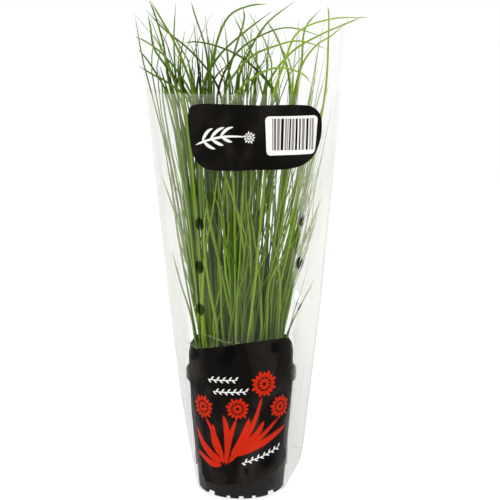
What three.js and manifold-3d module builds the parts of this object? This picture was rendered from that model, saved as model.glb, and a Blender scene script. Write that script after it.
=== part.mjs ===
// A pot of chives in its clear sleeve, in millimetres, +Z up.
// The origin is on the pot's axis, at the surface that the sleeve's floor stands on, and the front faces -Y.
// Pieces: the sleeve of clear film, the plastic pot, its soil, and seven tufts of chives that stand in plain holes
// in the soil. A tuft is one solid: tubular leaves that run down into a knot of small bulbs.
import * as THREE from "three";
import { mergeVertices } from "three/addons/utils/BufferGeometryUtils.js";
import Module from "manifold-3d";

const wasm = await Module();
wasm.setup();

// ---- Driving dimensions ----------------------------------------------------------------------------------------

const SEAT_GAP = 0.3; // between two pieces that touch

const FILM = 0.8; // the sleeve's wall, thicker than real film so that it is a sound solid
const SEAM_WELD = 2; // solid edge of the two side seams
const SLEEVE_FRONT = 361; // height of the front panel's edge
const SLEEVE_BACK = 419; // height of the back panel's edge, which stands up behind the leaves
const SLEEVE_SIDES = 36;
const SLEEVE_LEVELS = [0, 22, 36, 104, 150, 205, 260, 311, SLEEVE_FRONT, SLEEVE_BACK];
// Each side: its seam's reach from the pot's axis, as [height, reach], and how far round from the seam, in degrees,
// the film stands off the pot. The bag tapers, its lower corners are round, and the pot stands left of its middle.
const LEFT = {
  seam: [[0, 41.8], [22, 45.5], [36, 48], [81, 55.2], [175, 65.8], [361, 82.8], [419, 93]],
  ear: 30,
};
const RIGHT = {
  seam: [[0, 43], [22, 54.5], [36, 57.5], [81, 62.4], [175, 72.6], [361, 87.9], [419, 91]],
  ear: 15,
};
const SEAM_CROWDING = 0.1; // draws the sides' corners towards the seams, by up to a fifth of their spacing
const EAR_CURVE = 1.5; // 1 is a straight flare, more is a hollower one
const OVAL_RATE = { wide: 0.035, deep: -0.04 }; // how fast the round over the pot becomes an oval above the rim
const SLEEVE_OPENS = [225, SLEEVE_FRONT]; // heights between which that oval gives way to the mouth's flat-sided one
const MOUTH_DEPTH = { front: 34, back: 26 }; // of the mouth, from the plane of the seams
const MOUTH_SQUARENESS = 3; // 2 is an ellipse

const VENT_RADIUS = 5.5;
const VENT_SIDES = 10;
const VENT_PUNCH = 12; // length of the punch, across one panel only
const VENT_HEIGHTS = [174, 212, 250];
const VENT_TURNS = { left: 46, right: 73 }; // degrees round from the middle of each panel

const POT_HEIGHT = 111;
const POT_BASE_RADIUS = 39;
const POT_WALL_RADIUS = 47.3; // outside, just below the rim
const POT_RIM_RADIUS = 50;
const POT_RIM_HEIGHT = 8;
const POT_WALL = 1.5;
const POT_BEAD = 1.2; // the slope along the rim's upper edge
const POT_FOOT = { height: 4.5, wall: 2.7 }; // the ring under the pot's floor
const POT_SIDES = 36;
const NARROW_NOTCH = { width: 4, height: 2.4, turns: [-17.5, 0, 17.5] }; // degrees from each quarter's middle
const WIDE_NOTCH = { width: 9.5, height: 3.8, turns: [45] };
const NOTCH_REACH = 4; // how far a notch's cutter runs in and out from the foot's outer face
const DRAIN = { count: 6, radius: 3.5, ring: 23, sides: 12 };

const SOIL_BELOW_RIM = 11;
const SOIL_SIDES = 24;
const SOIL_RINGS = 5;
const SOIL_RELIEF = 1.1;

const TUFT_RING = 27.5; // six tufts stand on this radius, and one at the middle
const TUFT_RADIUS = 11;
const TUFT_DEPTH = 9; // how far the bulbs reach into the soil
const TUFT_SIDES = 12;
const LEAVES_PER_TUFT = 31;
const LEAF_RADIUS = 1.35;
const LEAF_SIDES = 3;
const LEAF_STATIONS = [0, 0.28, 0.55, 0.8, 1];
const LOOSE_STEPS = 9;
const LEAF_TAPER = { from: 0.45, tip: 0.3 };
const LEAF_SPACING = { sameTuft: 1.9, otherTuft: 2.95 }; // least distance between the lines of two leaves
const LEAF_TRIES = 40;
const GOLDEN_TURN = 2.399963;
const BUNCH_FOOT = 41; // the bunch's radius at the soil
const BUNCH_MOUTH = { wide: 71, deep: 25, x: 4, y: -4 }; // half its width and depth at the mouth, and its middle

// ---- Heights and radii worked out from them --------------------------------------------------------------------

const POT_FLOOR = FILM + SEAT_GAP; // the pot's foot stands on the sleeve's floor
const RIM_TOP = POT_FLOOR + POT_HEIGHT;
const WALL_TOP = RIM_TOP - POT_RIM_HEIGHT;
const SOIL_TOP = RIM_TOP - SOIL_BELOW_RIM;
const BULBS_BOTTOM = SOIL_TOP - TUFT_DEPTH;
const FACET_REACH = 1 / Math.cos((1.2 * Math.PI) / SLEEVE_SIDES); // keeps the film's flats off the round pot
const POT_WALL_HEIGHT = POT_HEIGHT - POT_RIM_HEIGHT;
const POT_INSIDE_FLOOR = POT_FOOT.height + POT_WALL;
const FILM_BASE_RADIUS = (POT_BASE_RADIUS + SEAT_GAP) * FACET_REACH + FILM;
const FILM_RIM_RADIUS = (POT_RIM_RADIUS + SEAT_GAP) * FACET_REACH + FILM;

// ---- Small helpers ---------------------------------------------------------------------------------------------

const radians = THREE.MathUtils.degToRad;
const { lerp, smoothstep, clamp } = THREE.MathUtils;

// The value at a height, from a list of [height, value] knots.
function along(knots, height) {
  const last = knots.length - 1;
  let i = 0;
  while (i < last - 1 && height > knots[i + 1][0]) i++;
  const [low, high] = [knots[i], knots[i + 1]];
  return lerp(low[1], high[1], clamp((height - low[0]) / (high[0] - low[0]), 0, 1));
}

// A seeded source of random numbers: each call gives one between low and high.
function makeDraw(seed) {
  let state = (seed * 48271 + 11) % 2147483647;
  return (low, high) => {
    state = (state * 16807) % 2147483647;
    return low + ((high - low) * state) / 2147483647;
  };
}

// A closed three.js geometry as a manifold-3d solid.
function solidOf(geometry) {
  const bare = geometry.clone();
  bare.deleteAttribute("normal");
  bare.deleteAttribute("uv");
  const merged = mergeVertices(bare, 1e-4);
  return new wasm.Manifold(
    new wasm.Mesh({
      numProp: 3,
      vertProperties: new Float32Array(merged.attributes.position.array),
      triVerts: new Uint32Array(merged.index.array),
    }),
  );
}

// The solid's largest body, with any hollow inside it filled, as a three.js geometry.
function geometryOf(solid) {
  const bodies = solid.decompose();
  const largest = bodies.reduce((a, b) => (b.volume() > a.volume() ? b : a));
  const mesh = largest.getMesh();
  const positions = new Float32Array(mesh.numVert * 3);
  for (let i = 0; i < mesh.numVert; i++)
    positions.set(mesh.vertProperties.subarray(i * mesh.numProp, i * mesh.numProp + 3), i * 3);
  const geometry = new THREE.BufferGeometry();
  geometry.setAttribute("position", new THREE.BufferAttribute(positions, 3));
  geometry.setIndex(new THREE.BufferAttribute(new Uint32Array(mesh.triVerts), 1));
  geometry.computeVertexNormals();
  return geometry;
}

// A solid turned about +Z from a profile of [radius, height] points that starts and ends on the axis.
function turned(profile, sides) {
  const geometry = new THREE.LatheGeometry(profile.map(([r, z]) => new THREE.Vector2(r, z)), sides);
  return geometry.rotateX(Math.PI / 2); // three.js turns its profile about +Y
}

// A round bar from one height to another, standing at x, y.
function post(x, y, radius, low, high, sides) {
  const geometry = new THREE.CylinderGeometry(radius, radius, high - low, sides).rotateX(Math.PI / 2);
  return solidOf(geometry.translate(x, y, (low + high) / 2));
}

function piece(name, solid, look) {
  const mesh = new THREE.Mesh(geometryOf(solid), new THREE.MeshStandardMaterial(look));
  mesh.name = name;
  return mesh;
}

// ---- The sleeve ------------------------------------------------------------------------------------------------

// Half the width or depth of what the film is drawn over: the pot's taper up to its rim, and then an oval that grows
// or shrinks at a rate.
function filmRound(z, rate) {
  return lerp(FILM_BASE_RADIUS, FILM_RIM_RADIUS, clamp(z / WALL_TOP, 0, 1)) + rate * Math.max(0, z - WALL_TOP);
}

// The film's distance from the pot's axis, at an angle and height. Low down it lies round the pot and the leaves and
// flares out to each seam, and at its mouth it is a flat-sided oval. inset moves it inwards.
function filmReach(angle, z, inset) {
  const [across, deep] = [Math.abs(Math.cos(angle)), Math.abs(Math.sin(angle))];
  const side = Math.cos(angle) < 0 ? LEFT : RIGHT;
  const seam = along(side.seam, z) - (inset * SEAM_WELD) / FILM;
  const [wide, thick] = [OVAL_RATE.wide, OVAL_RATE.deep].map((rate) => filmRound(z, rate) - inset);
  const round = 1 / Math.hypot(across / wide, deep / thick);
  const flare = Math.max(0, 1 - Math.atan2(deep, across) / radians(side.ear)) ** EAR_CURVE;
  const depth = (Math.sin(angle) < 0 ? MOUTH_DEPTH.front : MOUTH_DEPTH.back) - inset;
  const mouth = Math.hypot((across / seam) ** (MOUTH_SQUARENESS / 2), (deep / depth) ** (MOUTH_SQUARENESS / 2));
  return lerp(lerp(round, seam, flare), mouth ** (-2 / MOUTH_SQUARENESS), smoothstep(z, ...SLEEVE_OPENS));
}

function filmPoint(angle, z, inset) {
  const reach = filmReach(angle, z, inset);
  return new THREE.Vector2(reach * Math.cos(angle), reach * Math.sin(angle));
}

// The closed form inside the film's outer or inner face, from one height to the top.
function filmForm(levels, inset) {
  const geometry = new THREE.CylinderGeometry(1, 1, levels.length - 1, SLEEVE_SIDES, levels.length - 1);
  geometry.rotateX(Math.PI / 2);
  const place = geometry.attributes.position;
  for (let i = 0; i < place.count; i++) {
    const level = Math.round(place.getZ(i) + (levels.length - 1) / 2);
    const z = levels[level];
    const onRim = Math.hypot(place.getX(i), place.getY(i)) > 0.5;
    const even = Math.atan2(place.getY(i), place.getX(i));
    const film = filmPoint(even - SEAM_CROWDING * Math.sin(2 * even), z, inset);
    place.setXYZ(i, onRim ? film.x : 0, onRim ? film.y : 0, z);
  }
  return solidOf(geometry);
}

// A punch for one vent hole, square to the film. It goes through one panel only.
function ventPunch(angle, z) {
  const step = 0.05;
  const here = filmPoint(angle, z, 0);
  const tangent = filmPoint(angle + step, z, 0).sub(filmPoint(angle - step, z, 0));
  const outward = new THREE.Vector3(tangent.y, -tangent.x, 0).normalize();
  const punch = new THREE.CylinderGeometry(VENT_RADIUS, VENT_RADIUS, VENT_PUNCH, VENT_SIDES);
  punch.applyQuaternion(new THREE.Quaternion().setFromUnitVectors(new THREE.Vector3(0, 1, 0), outward));
  return solidOf(punch.translate(here.x, here.y, z));
}

function ventAngles() {
  const [left, right] = [radians(VENT_TURNS.left), radians(VENT_TURNS.right)];
  return [-1, 1].flatMap((panel) => [panel * (Math.PI / 2 + left), panel * (Math.PI / 2 - right)]);
}

function makeSleeve() {
  const inner = [FILM, ...SLEEVE_LEVELS.slice(1, -1), SLEEVE_BACK + 2];
  const bag = filmForm(SLEEVE_LEVELS, 0).subtract(filmForm(inner, FILM));
  const size = SLEEVE_BACK; // more than enough to clear all that is above the front panel
  const aboveFront = new THREE.BoxGeometry(size, size, size);
  aboveFront.translate(0, -size / 2, SLEEVE_FRONT + size / 2);
  const vents = VENT_HEIGHTS.flatMap((z) => ventAngles().map((angle) => ventPunch(angle, z)));
  return bag.subtract(solidOf(aboveFront)).subtract(wasm.Manifold.union(vents));
}

// ---- The pot and its soil --------------------------------------------------------------------------------------

// Radius of the pot's inner face at a height above its foot.
function insideRadius(height) {
  return lerp(POT_BASE_RADIUS, POT_WALL_RADIUS, height / POT_WALL_HEIGHT) - POT_WALL;
}

function footNotch({ width, height }, turn) {
  const cut = new THREE.BoxGeometry(2 * NOTCH_REACH, width, 2 * height);
  return solidOf(cut.translate(POT_BASE_RADIUS, 0, 0).rotateZ(radians(turn)));
}

function makePot() {
  const ringInside = POT_BASE_RADIUS - POT_FOOT.wall;
  const profile = [
    [0, POT_FOOT.height],
    [ringInside, POT_FOOT.height],
    [ringInside, 0],
    [POT_BASE_RADIUS, 0],
    [POT_WALL_RADIUS, POT_WALL_HEIGHT],
    [POT_RIM_RADIUS - POT_BEAD / 2, POT_WALL_HEIGHT],
    [POT_RIM_RADIUS, POT_WALL_HEIGHT + POT_BEAD],
    [POT_RIM_RADIUS, POT_HEIGHT - POT_BEAD],
    [POT_RIM_RADIUS - POT_BEAD, POT_HEIGHT],
    [POT_WALL_RADIUS, POT_HEIGHT],
    [insideRadius(POT_WALL_HEIGHT), POT_WALL_HEIGHT],
    [insideRadius(POT_INSIDE_FLOOR), POT_INSIDE_FLOOR],
    [0, POT_INSIDE_FLOOR],
  ];
  const notches = [-90, 0, 90, 180].flatMap((quarter) =>
    [NARROW_NOTCH, WIDE_NOTCH].flatMap((notch) => notch.turns.map((turn) => footNotch(notch, quarter + turn))),
  );
  const drains = Array.from({ length: DRAIN.count }, (_, i) => {
    const turn = (i * 2 * Math.PI) / DRAIN.count;
    const [x, y] = [DRAIN.ring * Math.cos(turn), DRAIN.ring * Math.sin(turn)];
    return post(x, y, DRAIN.radius, POT_FOOT.height - 1, POT_INSIDE_FLOOR + 1, DRAIN.sides);
  });
  const cuts = wasm.Manifold.union([...notches, ...drains]);
  return solidOf(turned(profile, POT_SIDES)).subtract(cuts).translate([0, 0, POT_FLOOR]);
}

// Crumbs of the soil's surface, as a height above its level.
function soilRelief(x, y) {
  const coarse = Math.sin(x * 0.31 + 1.7) * Math.cos(y * 0.27 - 0.6);
  const fine = Math.sin(x * 0.83 + y * 0.57) * Math.cos(y * 0.91 - x * 0.35);
  return SOIL_RELIEF * (0.6 * coarse + 0.4 * fine);
}

function makeSoil() {
  const low = POT_INSIDE_FLOOR + SEAT_GAP;
  const high = POT_HEIGHT - SOIL_BELOW_RIM;
  const edge = insideRadius(high) - SEAT_GAP;
  const top = Array.from({ length: SOIL_RINGS }, (_, i) => [edge * (1 - i / SOIL_RINGS), high]);
  const geometry = turned([[0, low], [insideRadius(low) - SEAT_GAP, low], ...top, [0, high]], SOIL_SIDES);
  const place = geometry.attributes.position;
  for (let i = 0; i < place.count; i++) {
    const [x, y, z] = [place.getX(i), place.getY(i), place.getZ(i)];
    if (z > high - 1 && Math.hypot(x, y) < edge - 1) place.setZ(i, z + soilRelief(x, y));
  }
  const holes = tuftCentres().map(([x, y]) =>
    post(x, y, TUFT_RADIUS + SEAT_GAP, high - TUFT_DEPTH - SEAT_GAP, high + 5, TUFT_SIDES),
  );
  return solidOf(geometry).subtract(wasm.Manifold.union(holes)).translate([0, 0, POT_FLOOR]);
}

// ---- The chives ------------------------------------------------------------------------------------------------

function tuftCentres() {
  const ring = Array.from({ length: 6 }, (_, i) => {
    const turn = radians(30 + 60 * i);
    return [TUFT_RING * Math.cos(turn), TUFT_RING * Math.sin(turn)];
  });
  return [[0, 0], ...ring];
}

// The whole bunch at a height: half its width and depth, and its middle. It fans out as the sleeve opens, which also
// holds it flat.
function bunch(z) {
  const share = Math.max(0, (z - SOIL_TOP) / (SLEEVE_FRONT - SOIL_TOP));
  const flat = smoothstep(share, 0.2, 1);
  return {
    wide: lerp(BUNCH_FOOT, BUNCH_MOUTH.wide, share ** 1.3),
    deep: lerp(BUNCH_FOOT, BUNCH_MOUTH.deep, flat),
    middle: new THREE.Vector2(BUNCH_MOUTH.x * flat, BUNCH_MOUTH.y * flat),
  };
}

// Leaves that leave the bunch, each drawn through points of its own: the tops that stand out of the crown, and then
// short leaves that lean into the sleeve's sides. The points are [x, z], and depth is y at the first and at the last.
const LOOSE_LEAVES = [
  { depth: [-26, -24], top: [[26, 353], [37, 387], [48, 412], [76, 423], [106, 424]] },
  { depth: [-14, -20], top: [[20, 360], [42, 394], [66, 409], [89, 419], [103, 425]] },
  { depth: [-8, -12], top: [[46, 360], [54, 387], [66, 402], [76, 408], [89, 419]] },
  { depth: [-2, -4], top: [[73, 360], [75, 401], [75, 428], [74, 433]] },
  { depth: [9, 5], top: [[-20, 360], [-4, 393], [19, 409], [41, 415], [75, 406]] },
  { depth: [-24, -32], top: [[-14, 360], [8, 391], [27, 400], [48, 405], [74, 398]] },
  { depth: [6, 2], top: [[43, 360], [39, 385], [30, 409], [22, 421]] },
  { depth: [16, 8], top: [[-4, 362], [8, 396], [23, 419], [46, 437]] },
  { depth: [19, 17], top: [[-34, 360], [-21, 388], [2, 410], [26, 428]] },
  { depth: [-10, -8], top: [[47, 360], [52, 386], [55, 415], [68, 431]] },
  { depth: [-27, -34], top: [[-6, 356], [15, 377], [33, 383], [53, 377], [59, 370]] },
  { depth: [-10, -6], top: [[-42, 352], [-61, 379], [-74, 398], [-77, 416], [-79, 426]] },
  { depth: [3, 8], top: [[-58, 352], [-63, 373], [-67, 401], [-75, 429], [-79, 438]] },
  { depth: [-22, -28], top: [[-38, 352], [-53, 398], [-67, 424], [-75, 438]] },
  { depth: [8, 7], top: [[-55, 354], [-58, 401], [-56, 436]] },
  { depth: [14, 10], top: [[-19, 360], [-42, 393], [-67, 414], [-82, 430]] },
  { depth: [-16, -14], top: [[-40, 354], [-64, 391], [-79, 403], [-89, 408]] },
  { depth: [-4, -10], top: [[-60, 350], [-78, 385], [-87, 397]] },
  { depth: [-23, -30], top: [[-41, 350], [-63, 371], [-74, 377], [-85, 384]] },
  { depth: [-4, -8], top: [[-27, 360], [-30, 397], [-39, 426], [-42, 437]] },
  { depth: [-17, -24], top: [[30, 356], [6, 387], [-16, 399], [-38, 404], [-47, 403]] },
  { depth: [-12, -13], top: [[-28, 360], [-21, 401], [-9, 426], [9, 434], [23, 435]] },
  { depth: [0, -4], top: [[-14, 360], [-5, 396], [3, 423], [2, 432]] },
  { depth: [20, 22], top: [[32, 354], [18, 376], [1, 410], [-7, 426]] },
  { depth: [-12, -5], top: [[-44, 161], [-53, 190], [-61, 219]] },
  { depth: [-14, -2], top: [[-50, 232], [-60, 261], [-69, 286]] },
  { depth: [-10, -2], top: [[40, 142], [52, 169], [65, 193]] },
  { depth: [-8, 0], top: [[50, 213], [61, 241], [71, 268]] },
];

// A point of the bunch at a height, from where the same leaf would stand at the bunch's foot.
function inBunch(foot, z) {
  const { wide, deep, middle } = bunch(z);
  return new THREE.Vector3(middle.x + (foot.x * wide) / BUNCH_FOOT, middle.y + (foot.y * deep) / BUNCH_FOOT, z);
}

// A loose leaf: it rises with the bunch to the first of its own points.
function looseLeaf({ depth, top }) {
  const [edgeX, edgeZ] = top[0];
  const { wide, deep, middle } = bunch(edgeZ);
  const foot = new THREE.Vector2((edgeX - middle.x) / wide, (depth[0] - middle.y) / deep).multiplyScalar(BUNCH_FOOT);
  const centres = tuftCentres().map(([x, y]) => new THREE.Vector2(x, y));
  const tuft = centres.reduce((best, c, i) => (c.distanceTo(foot) < centres[best].distanceTo(foot) ? i : best), 0);
  const root = foot.clone().sub(centres[tuft]).clampLength(0, TUFT_RADIUS - 3.5).add(centres[tuft]);
  const points = [inBunch(root, BULBS_BOTTOM + 2)];
  for (const share of [0.3, 0.65])
    points.push(inBunch(root.clone().lerp(foot, smoothstep(share, 0, 0.9)), lerp(SOIL_TOP, edgeZ, share)));
  top.forEach(([x, z], i) => points.push(new THREE.Vector3(x, lerp(...depth, i / (top.length - 1)), z)));
  return { tuft, line: new THREE.CatmullRomCurve3(points, false, "centripetal").getPoints(LOOSE_STEPS) };
}

// The line of a common leaf: stations from its root to its tip. A later try is straighter and keeps closer to its
// tuft.
function commonLeaf(tuft, index, attempt) {
  const draw = makeDraw(7919 * (tuft * LEAVES_PER_TUFT + index + 1) + 104729 * attempt);
  const ease = 1 - attempt / LEAF_TRIES;
  const [centreX, centreY] = tuftCentres()[tuft];
  const out = (TUFT_RADIUS - 2.4) * Math.sqrt((index + 0.5) / LEAVES_PER_TUFT);
  const turn = index * GOLDEN_TURN + tuft;
  const root = new THREE.Vector2(out * Math.cos(turn), out * Math.sin(turn));
  const tipZ = lerp(235, 428, draw(0, 1) ** 0.55) - 14 * (1 - ease);
  const fan = draw(0.1, 0.75) * ease;
  const drift = new THREE.Vector2(draw(-16, 16), draw(-9, 9)).multiplyScalar(ease);
  const bend = 4 * draw(0, 1) ** 2 * draw(-26, 26) * ease;
  return LEAF_STATIONS.map((s) => {
    const foot = new THREE.Vector2(centreX, centreY).addScaledVector(root, 1 + fan * smoothstep(s, 0, 0.45));
    const point = inBunch(foot.addScaledVector(drift, s ** 2), lerp(BULBS_BOTTOM + 2, tipZ, s));
    point.x += bend * Math.max(0, s - 0.6) ** 2;
    return point;
  });
}

// Whether a line of points stays inside the sleeve, up to the lower edge of its mouth, and in front of its back panel.
function insideSleeve(line) {
  const margin = FILM + LEAF_RADIUS + SEAT_GAP;
  return line.every((point, i) => {
    const middle = point.clone().lerp(line[Math.max(i - 1, 0)], 0.5);
    return [point, middle].every(({ x, y, z }) => {
      const free = z > SLEEVE_BACK + LEAF_RADIUS || (y < -LEAF_RADIUS && z > SLEEVE_FRONT + LEAF_RADIUS);
      return free || Math.hypot(x, y) < filmReach(Math.atan2(y, x), Math.max(z, SOIL_TOP), margin);
    });
  });
}

// The least distance between two lines of points.
function distanceBetween(a, b) {
  let least = Infinity;
  for (let i = 1; i < a.length; i++)
    for (let j = 1; j < b.length; j++)
      if (sharesHeight(a[i - 1], a[i], b[j - 1], b[j]))
        least = Math.min(least, segmentDistance(a[i - 1], a[i], b[j - 1], b[j]));
  return least;
}

function sharesHeight(p, q, r, s) {
  const margin = LEAF_SPACING.otherTuft;
  return Math.max(p.z, q.z) + margin > Math.min(r.z, s.z) && Math.max(r.z, s.z) + margin > Math.min(p.z, q.z);
}

function segmentDistance(p, q, r, s) {
  const [d1, d2, gap] = [q.clone().sub(p), s.clone().sub(r), p.clone().sub(r)];
  const [a, e, f, b, c] = [d1.dot(d1), d2.dot(d2), d2.dot(gap), d1.dot(d2), d1.dot(gap)];
  const spread = a * e - b * b;
  let t = spread > 1e-9 ? clamp((b * f - c * e) / spread, 0, 1) : 0;
  const u = clamp((b * t + f) / e, 0, 1);
  t = clamp((b * u - c) / a, 0, 1);
  return gap.add(d1.multiplyScalar(t)).sub(d2.multiplyScalar(u)).length();
}

// Every leaf of the seven tufts, as lines of points. A leaf that comes too near another or the sleeve is drawn again.
function growLeaves() {
  const leaves = LOOSE_LEAVES.map(looseLeaf);
  const spacing = (tuft, other) => (tuft === other.tuft ? LEAF_SPACING.sameTuft : LEAF_SPACING.otherTuft);
  for (let tuft = 0; tuft < tuftCentres().length; tuft++)
    for (let index = 0; index < LEAVES_PER_TUFT; index++)
      for (let attempt = 0; attempt < LEAF_TRIES; attempt++) {
        const line = commonLeaf(tuft, index, attempt);
        const tooNear = (other) => distanceBetween(line, other.line) < spacing(tuft, other);
        if (!insideSleeve(line) || leaves.some(tooNear)) continue;
        leaves.push({ tuft, line });
        break;
      }
  return leaves;
}

// A leaf's radius, as a share of its full size, from its root at 0 to its tip at 1.
function leafTaper(share) {
  return lerp(1, LEAF_TAPER.tip, smoothstep(share, LEAF_TAPER.from, 1));
}

// A tapered tube along a line of points.
function blade(line, turn) {
  const steps = line.length - 1;
  const geometry = new THREE.CylinderGeometry(1, 1, steps, LEAF_SIDES, steps).rotateX(Math.PI / 2);
  const place = geometry.attributes.position;
  for (let i = 0; i < place.count; i++) {
    const step = Math.round(place.getZ(i) + steps / 2);
    const ahead = line[Math.min(step + 1, steps)].clone().sub(line[Math.max(step - 1, 0)]).normalize();
    const side = new THREE.Vector3(0, 1, 0).addScaledVector(ahead, -ahead.y).normalize();
    const normal = new THREE.Vector3().crossVectors(ahead, side);
    const radius = LEAF_RADIUS * leafTaper(step / steps);
    const cross = new THREE.Vector2(place.getX(i), place.getY(i)).rotateAround(new THREE.Vector2(), turn);
    const at = line[step].clone().addScaledVector(side, cross.x * radius).addScaledVector(normal, cross.y * radius);
    place.setXYZ(i, at.x, at.y, at.z);
  }
  return solidOf(geometry);
}

// The knot of bulbs that a tuft's leaves grow from, with its top just out of the soil.
function bulbs([x, y]) {
  const profile = [
    [0, 0],
    [TUFT_RADIUS - 2, 0],
    [TUFT_RADIUS, 2.5],
    [TUFT_RADIUS, TUFT_DEPTH - 1],
    [TUFT_RADIUS - 3, TUFT_DEPTH + 2],
    [0, TUFT_DEPTH + 4],
  ];
  return solidOf(turned(profile, TUFT_SIDES)).translate([x, y, BULBS_BOTTOM]);
}

function makeTuft(index, leaves) {
  const blades = leaves.filter((leaf) => leaf.tuft === index).map(({ line }, i) => blade(line, i * GOLDEN_TURN));
  return wasm.Manifold.union([bulbs(tuftCentres()[index]), ...blades]);
}

// ---- The object ------------------------------------------------------------------------------------------------

const CLEAR_FILM = { color: 0xf4f6f3, roughness: 0.15, metalness: 0, transparent: true, opacity: 0.25 };
const BLACK_PLASTIC = { color: 0x1b1917, roughness: 0.55, metalness: 0 };
const POTTING_SOIL = { color: 0x2c2018, roughness: 0.95, metalness: 0 };
const CHIVE_GREEN = { color: 0x4f8a1f, roughness: 0.5, metalness: 0 };

const chives = new THREE.Group();
chives.add(piece("sleeve", makeSleeve(), CLEAR_FILM));
chives.add(piece("pot", makePot(), BLACK_PLASTIC));
chives.add(piece("soil", makeSoil(), POTTING_SOIL));
const leaves = growLeaves();
tuftCentres().forEach((_, i) => chives.add(piece(`tuft_${i + 1}`, makeTuft(i, leaves), CHIVE_GREEN)));

export default chives;
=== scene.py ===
"""A pot of chives in its clear film sleeve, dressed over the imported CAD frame.

Lengths inside the makers are millimetres. They become metres when a mesh is finished.
The origin is on the pot's axis at the surface that the sleeve stands on, the front faces -Y, and +Z is up.
"""

import math

import bmesh
import bpy
import numpy as np
from mathutils import Matrix, Vector


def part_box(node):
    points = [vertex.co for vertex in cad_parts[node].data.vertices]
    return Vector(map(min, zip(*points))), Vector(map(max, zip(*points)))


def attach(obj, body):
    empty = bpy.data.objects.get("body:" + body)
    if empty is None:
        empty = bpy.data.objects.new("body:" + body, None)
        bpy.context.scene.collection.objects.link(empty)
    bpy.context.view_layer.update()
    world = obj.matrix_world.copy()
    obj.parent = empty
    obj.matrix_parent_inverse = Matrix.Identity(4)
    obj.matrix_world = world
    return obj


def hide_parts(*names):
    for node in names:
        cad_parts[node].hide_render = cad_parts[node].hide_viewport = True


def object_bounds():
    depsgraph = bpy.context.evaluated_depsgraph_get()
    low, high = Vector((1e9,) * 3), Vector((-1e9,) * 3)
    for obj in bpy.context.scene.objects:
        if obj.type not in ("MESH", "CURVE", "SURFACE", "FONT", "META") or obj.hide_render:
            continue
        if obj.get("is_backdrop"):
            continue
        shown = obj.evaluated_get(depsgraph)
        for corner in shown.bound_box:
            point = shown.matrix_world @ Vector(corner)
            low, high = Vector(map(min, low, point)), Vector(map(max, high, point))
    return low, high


bl_info = {
    "name": "Potted chives",
    "version": (1, 0, 0),
    "blender": (4, 5, 0),
    "location": "3D View > Sidebar > Chives",
    "description": "Builds a pot of chives in a clear film sleeve over its packed frame",
    "category": "Add Mesh",
}

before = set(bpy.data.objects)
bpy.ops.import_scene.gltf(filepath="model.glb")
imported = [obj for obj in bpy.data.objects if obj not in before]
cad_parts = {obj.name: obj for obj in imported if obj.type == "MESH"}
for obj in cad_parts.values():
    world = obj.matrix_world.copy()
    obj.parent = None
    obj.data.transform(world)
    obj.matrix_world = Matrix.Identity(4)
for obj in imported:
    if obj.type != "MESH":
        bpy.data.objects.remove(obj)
CAD_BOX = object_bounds()

METRE = 0.001  # a millimetre in metres
POT_BOX = [[axis / METRE for axis in corner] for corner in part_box("pot")]
SOIL_BOX = [[axis / METRE for axis in corner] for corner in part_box("soil")]
SLEEVE_BOX = [[axis / METRE for axis in corner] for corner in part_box("sleeve")]

# ---- Sizes that the frame's solids share ----

FILM = 0.8  # the frame's film wall
SEAT_GAP = 0.3
SEAM_WELD = 2.0
SLEEVE_FRONT = 361.0
SLEEVE_BACK = round(SLEEVE_BOX[1][2])
SLEEVE_SIDES = 36
LEFT_SEAM = ((0, 22, 36, 81, 175, 361, 419), (41.8, 45.5, 48, 55.2, 65.8, 82.8, 93))
RIGHT_SEAM = ((0, 22, 36, 81, 175, 361, 419), (43, 54.5, 57.5, 62.4, 72.6, 87.9, 91))
LEFT_EAR, RIGHT_EAR = math.radians(30), math.radians(15)
SEAM_CROWDING = 0.1
EAR_CURVE = 1.5
OVAL_WIDE, OVAL_DEEP = 0.035, -0.04
SLEEVE_OPENS = (225.0, SLEEVE_FRONT)
MOUTH_FRONT, MOUTH_BACK = 34.0, 26.0
MOUTH_SQUARENESS = 3.0
VENT_HEIGHTS = (174.0, 212.0, 250.0)
VENT_LEFT, VENT_RIGHT = math.radians(46), math.radians(73)

POT_FLOOR = POT_BOX[0][2]
POT_HEIGHT = POT_BOX[1][2] - POT_FLOOR
POT_RIM_RADIUS = POT_BOX[1][0]
POT_BASE_RADIUS = 39.0
POT_WALL_RADIUS = 47.3
POT_RIM_HEIGHT = 8.0
POT_WALL = 1.5
FOOT_HEIGHT, FOOT_WALL = 4.5, 2.7
RIM_TOP = POT_FLOOR + POT_HEIGHT
WALL_TOP = RIM_TOP - POT_RIM_HEIGHT
SOIL_TOP = RIM_TOP - 11
FACET_REACH = 1 / math.cos(1.2 * math.pi / SLEEVE_SIDES)
FILM_BASE_RADIUS = (POT_BASE_RADIUS + SEAT_GAP) * FACET_REACH + FILM
FILM_RIM_RADIUS = (POT_RIM_RADIUS + SEAT_GAP) * FACET_REACH + FILM

TUFT_RING, TUFT_RADIUS, TUFT_DEPTH = 27.5, 11.0, 9.0
LEAVES_PER_TUFT = 31
LEAF_RADIUS = 1.35
LEAF_STATIONS, FINE_STATIONS = (0, 0.28, 0.55, 0.8, 1), (0, 0.16, 0.36, 0.58, 0.8, 1)
LOOSE_STEPS = 9
SAME_TUFT, OTHER_TUFT = 1.9, 2.95
LEAF_TRIES = 40
GOLDEN_TURN = 2.399963
BUNCH_FOOT = 41.0
MOUTH_WIDE, MOUTH_DEEP = 71.0, 25.0
MOUTH_MIDDLE = (4.0, -4.0)
BULBS_BOTTOM = SOIL_TOP - TUFT_DEPTH


# ---- Numbers ----


def lerp(low, high, share):
    return low + (high - low) * share


def smoothstep(value, low, high):
    share = np.clip((value - low) / (high - low), 0, 1)
    return share * share * (3 - 2 * share)


def polar(radius, turn):
    return np.array([radius * math.cos(turn), radius * math.sin(turn)])


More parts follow.
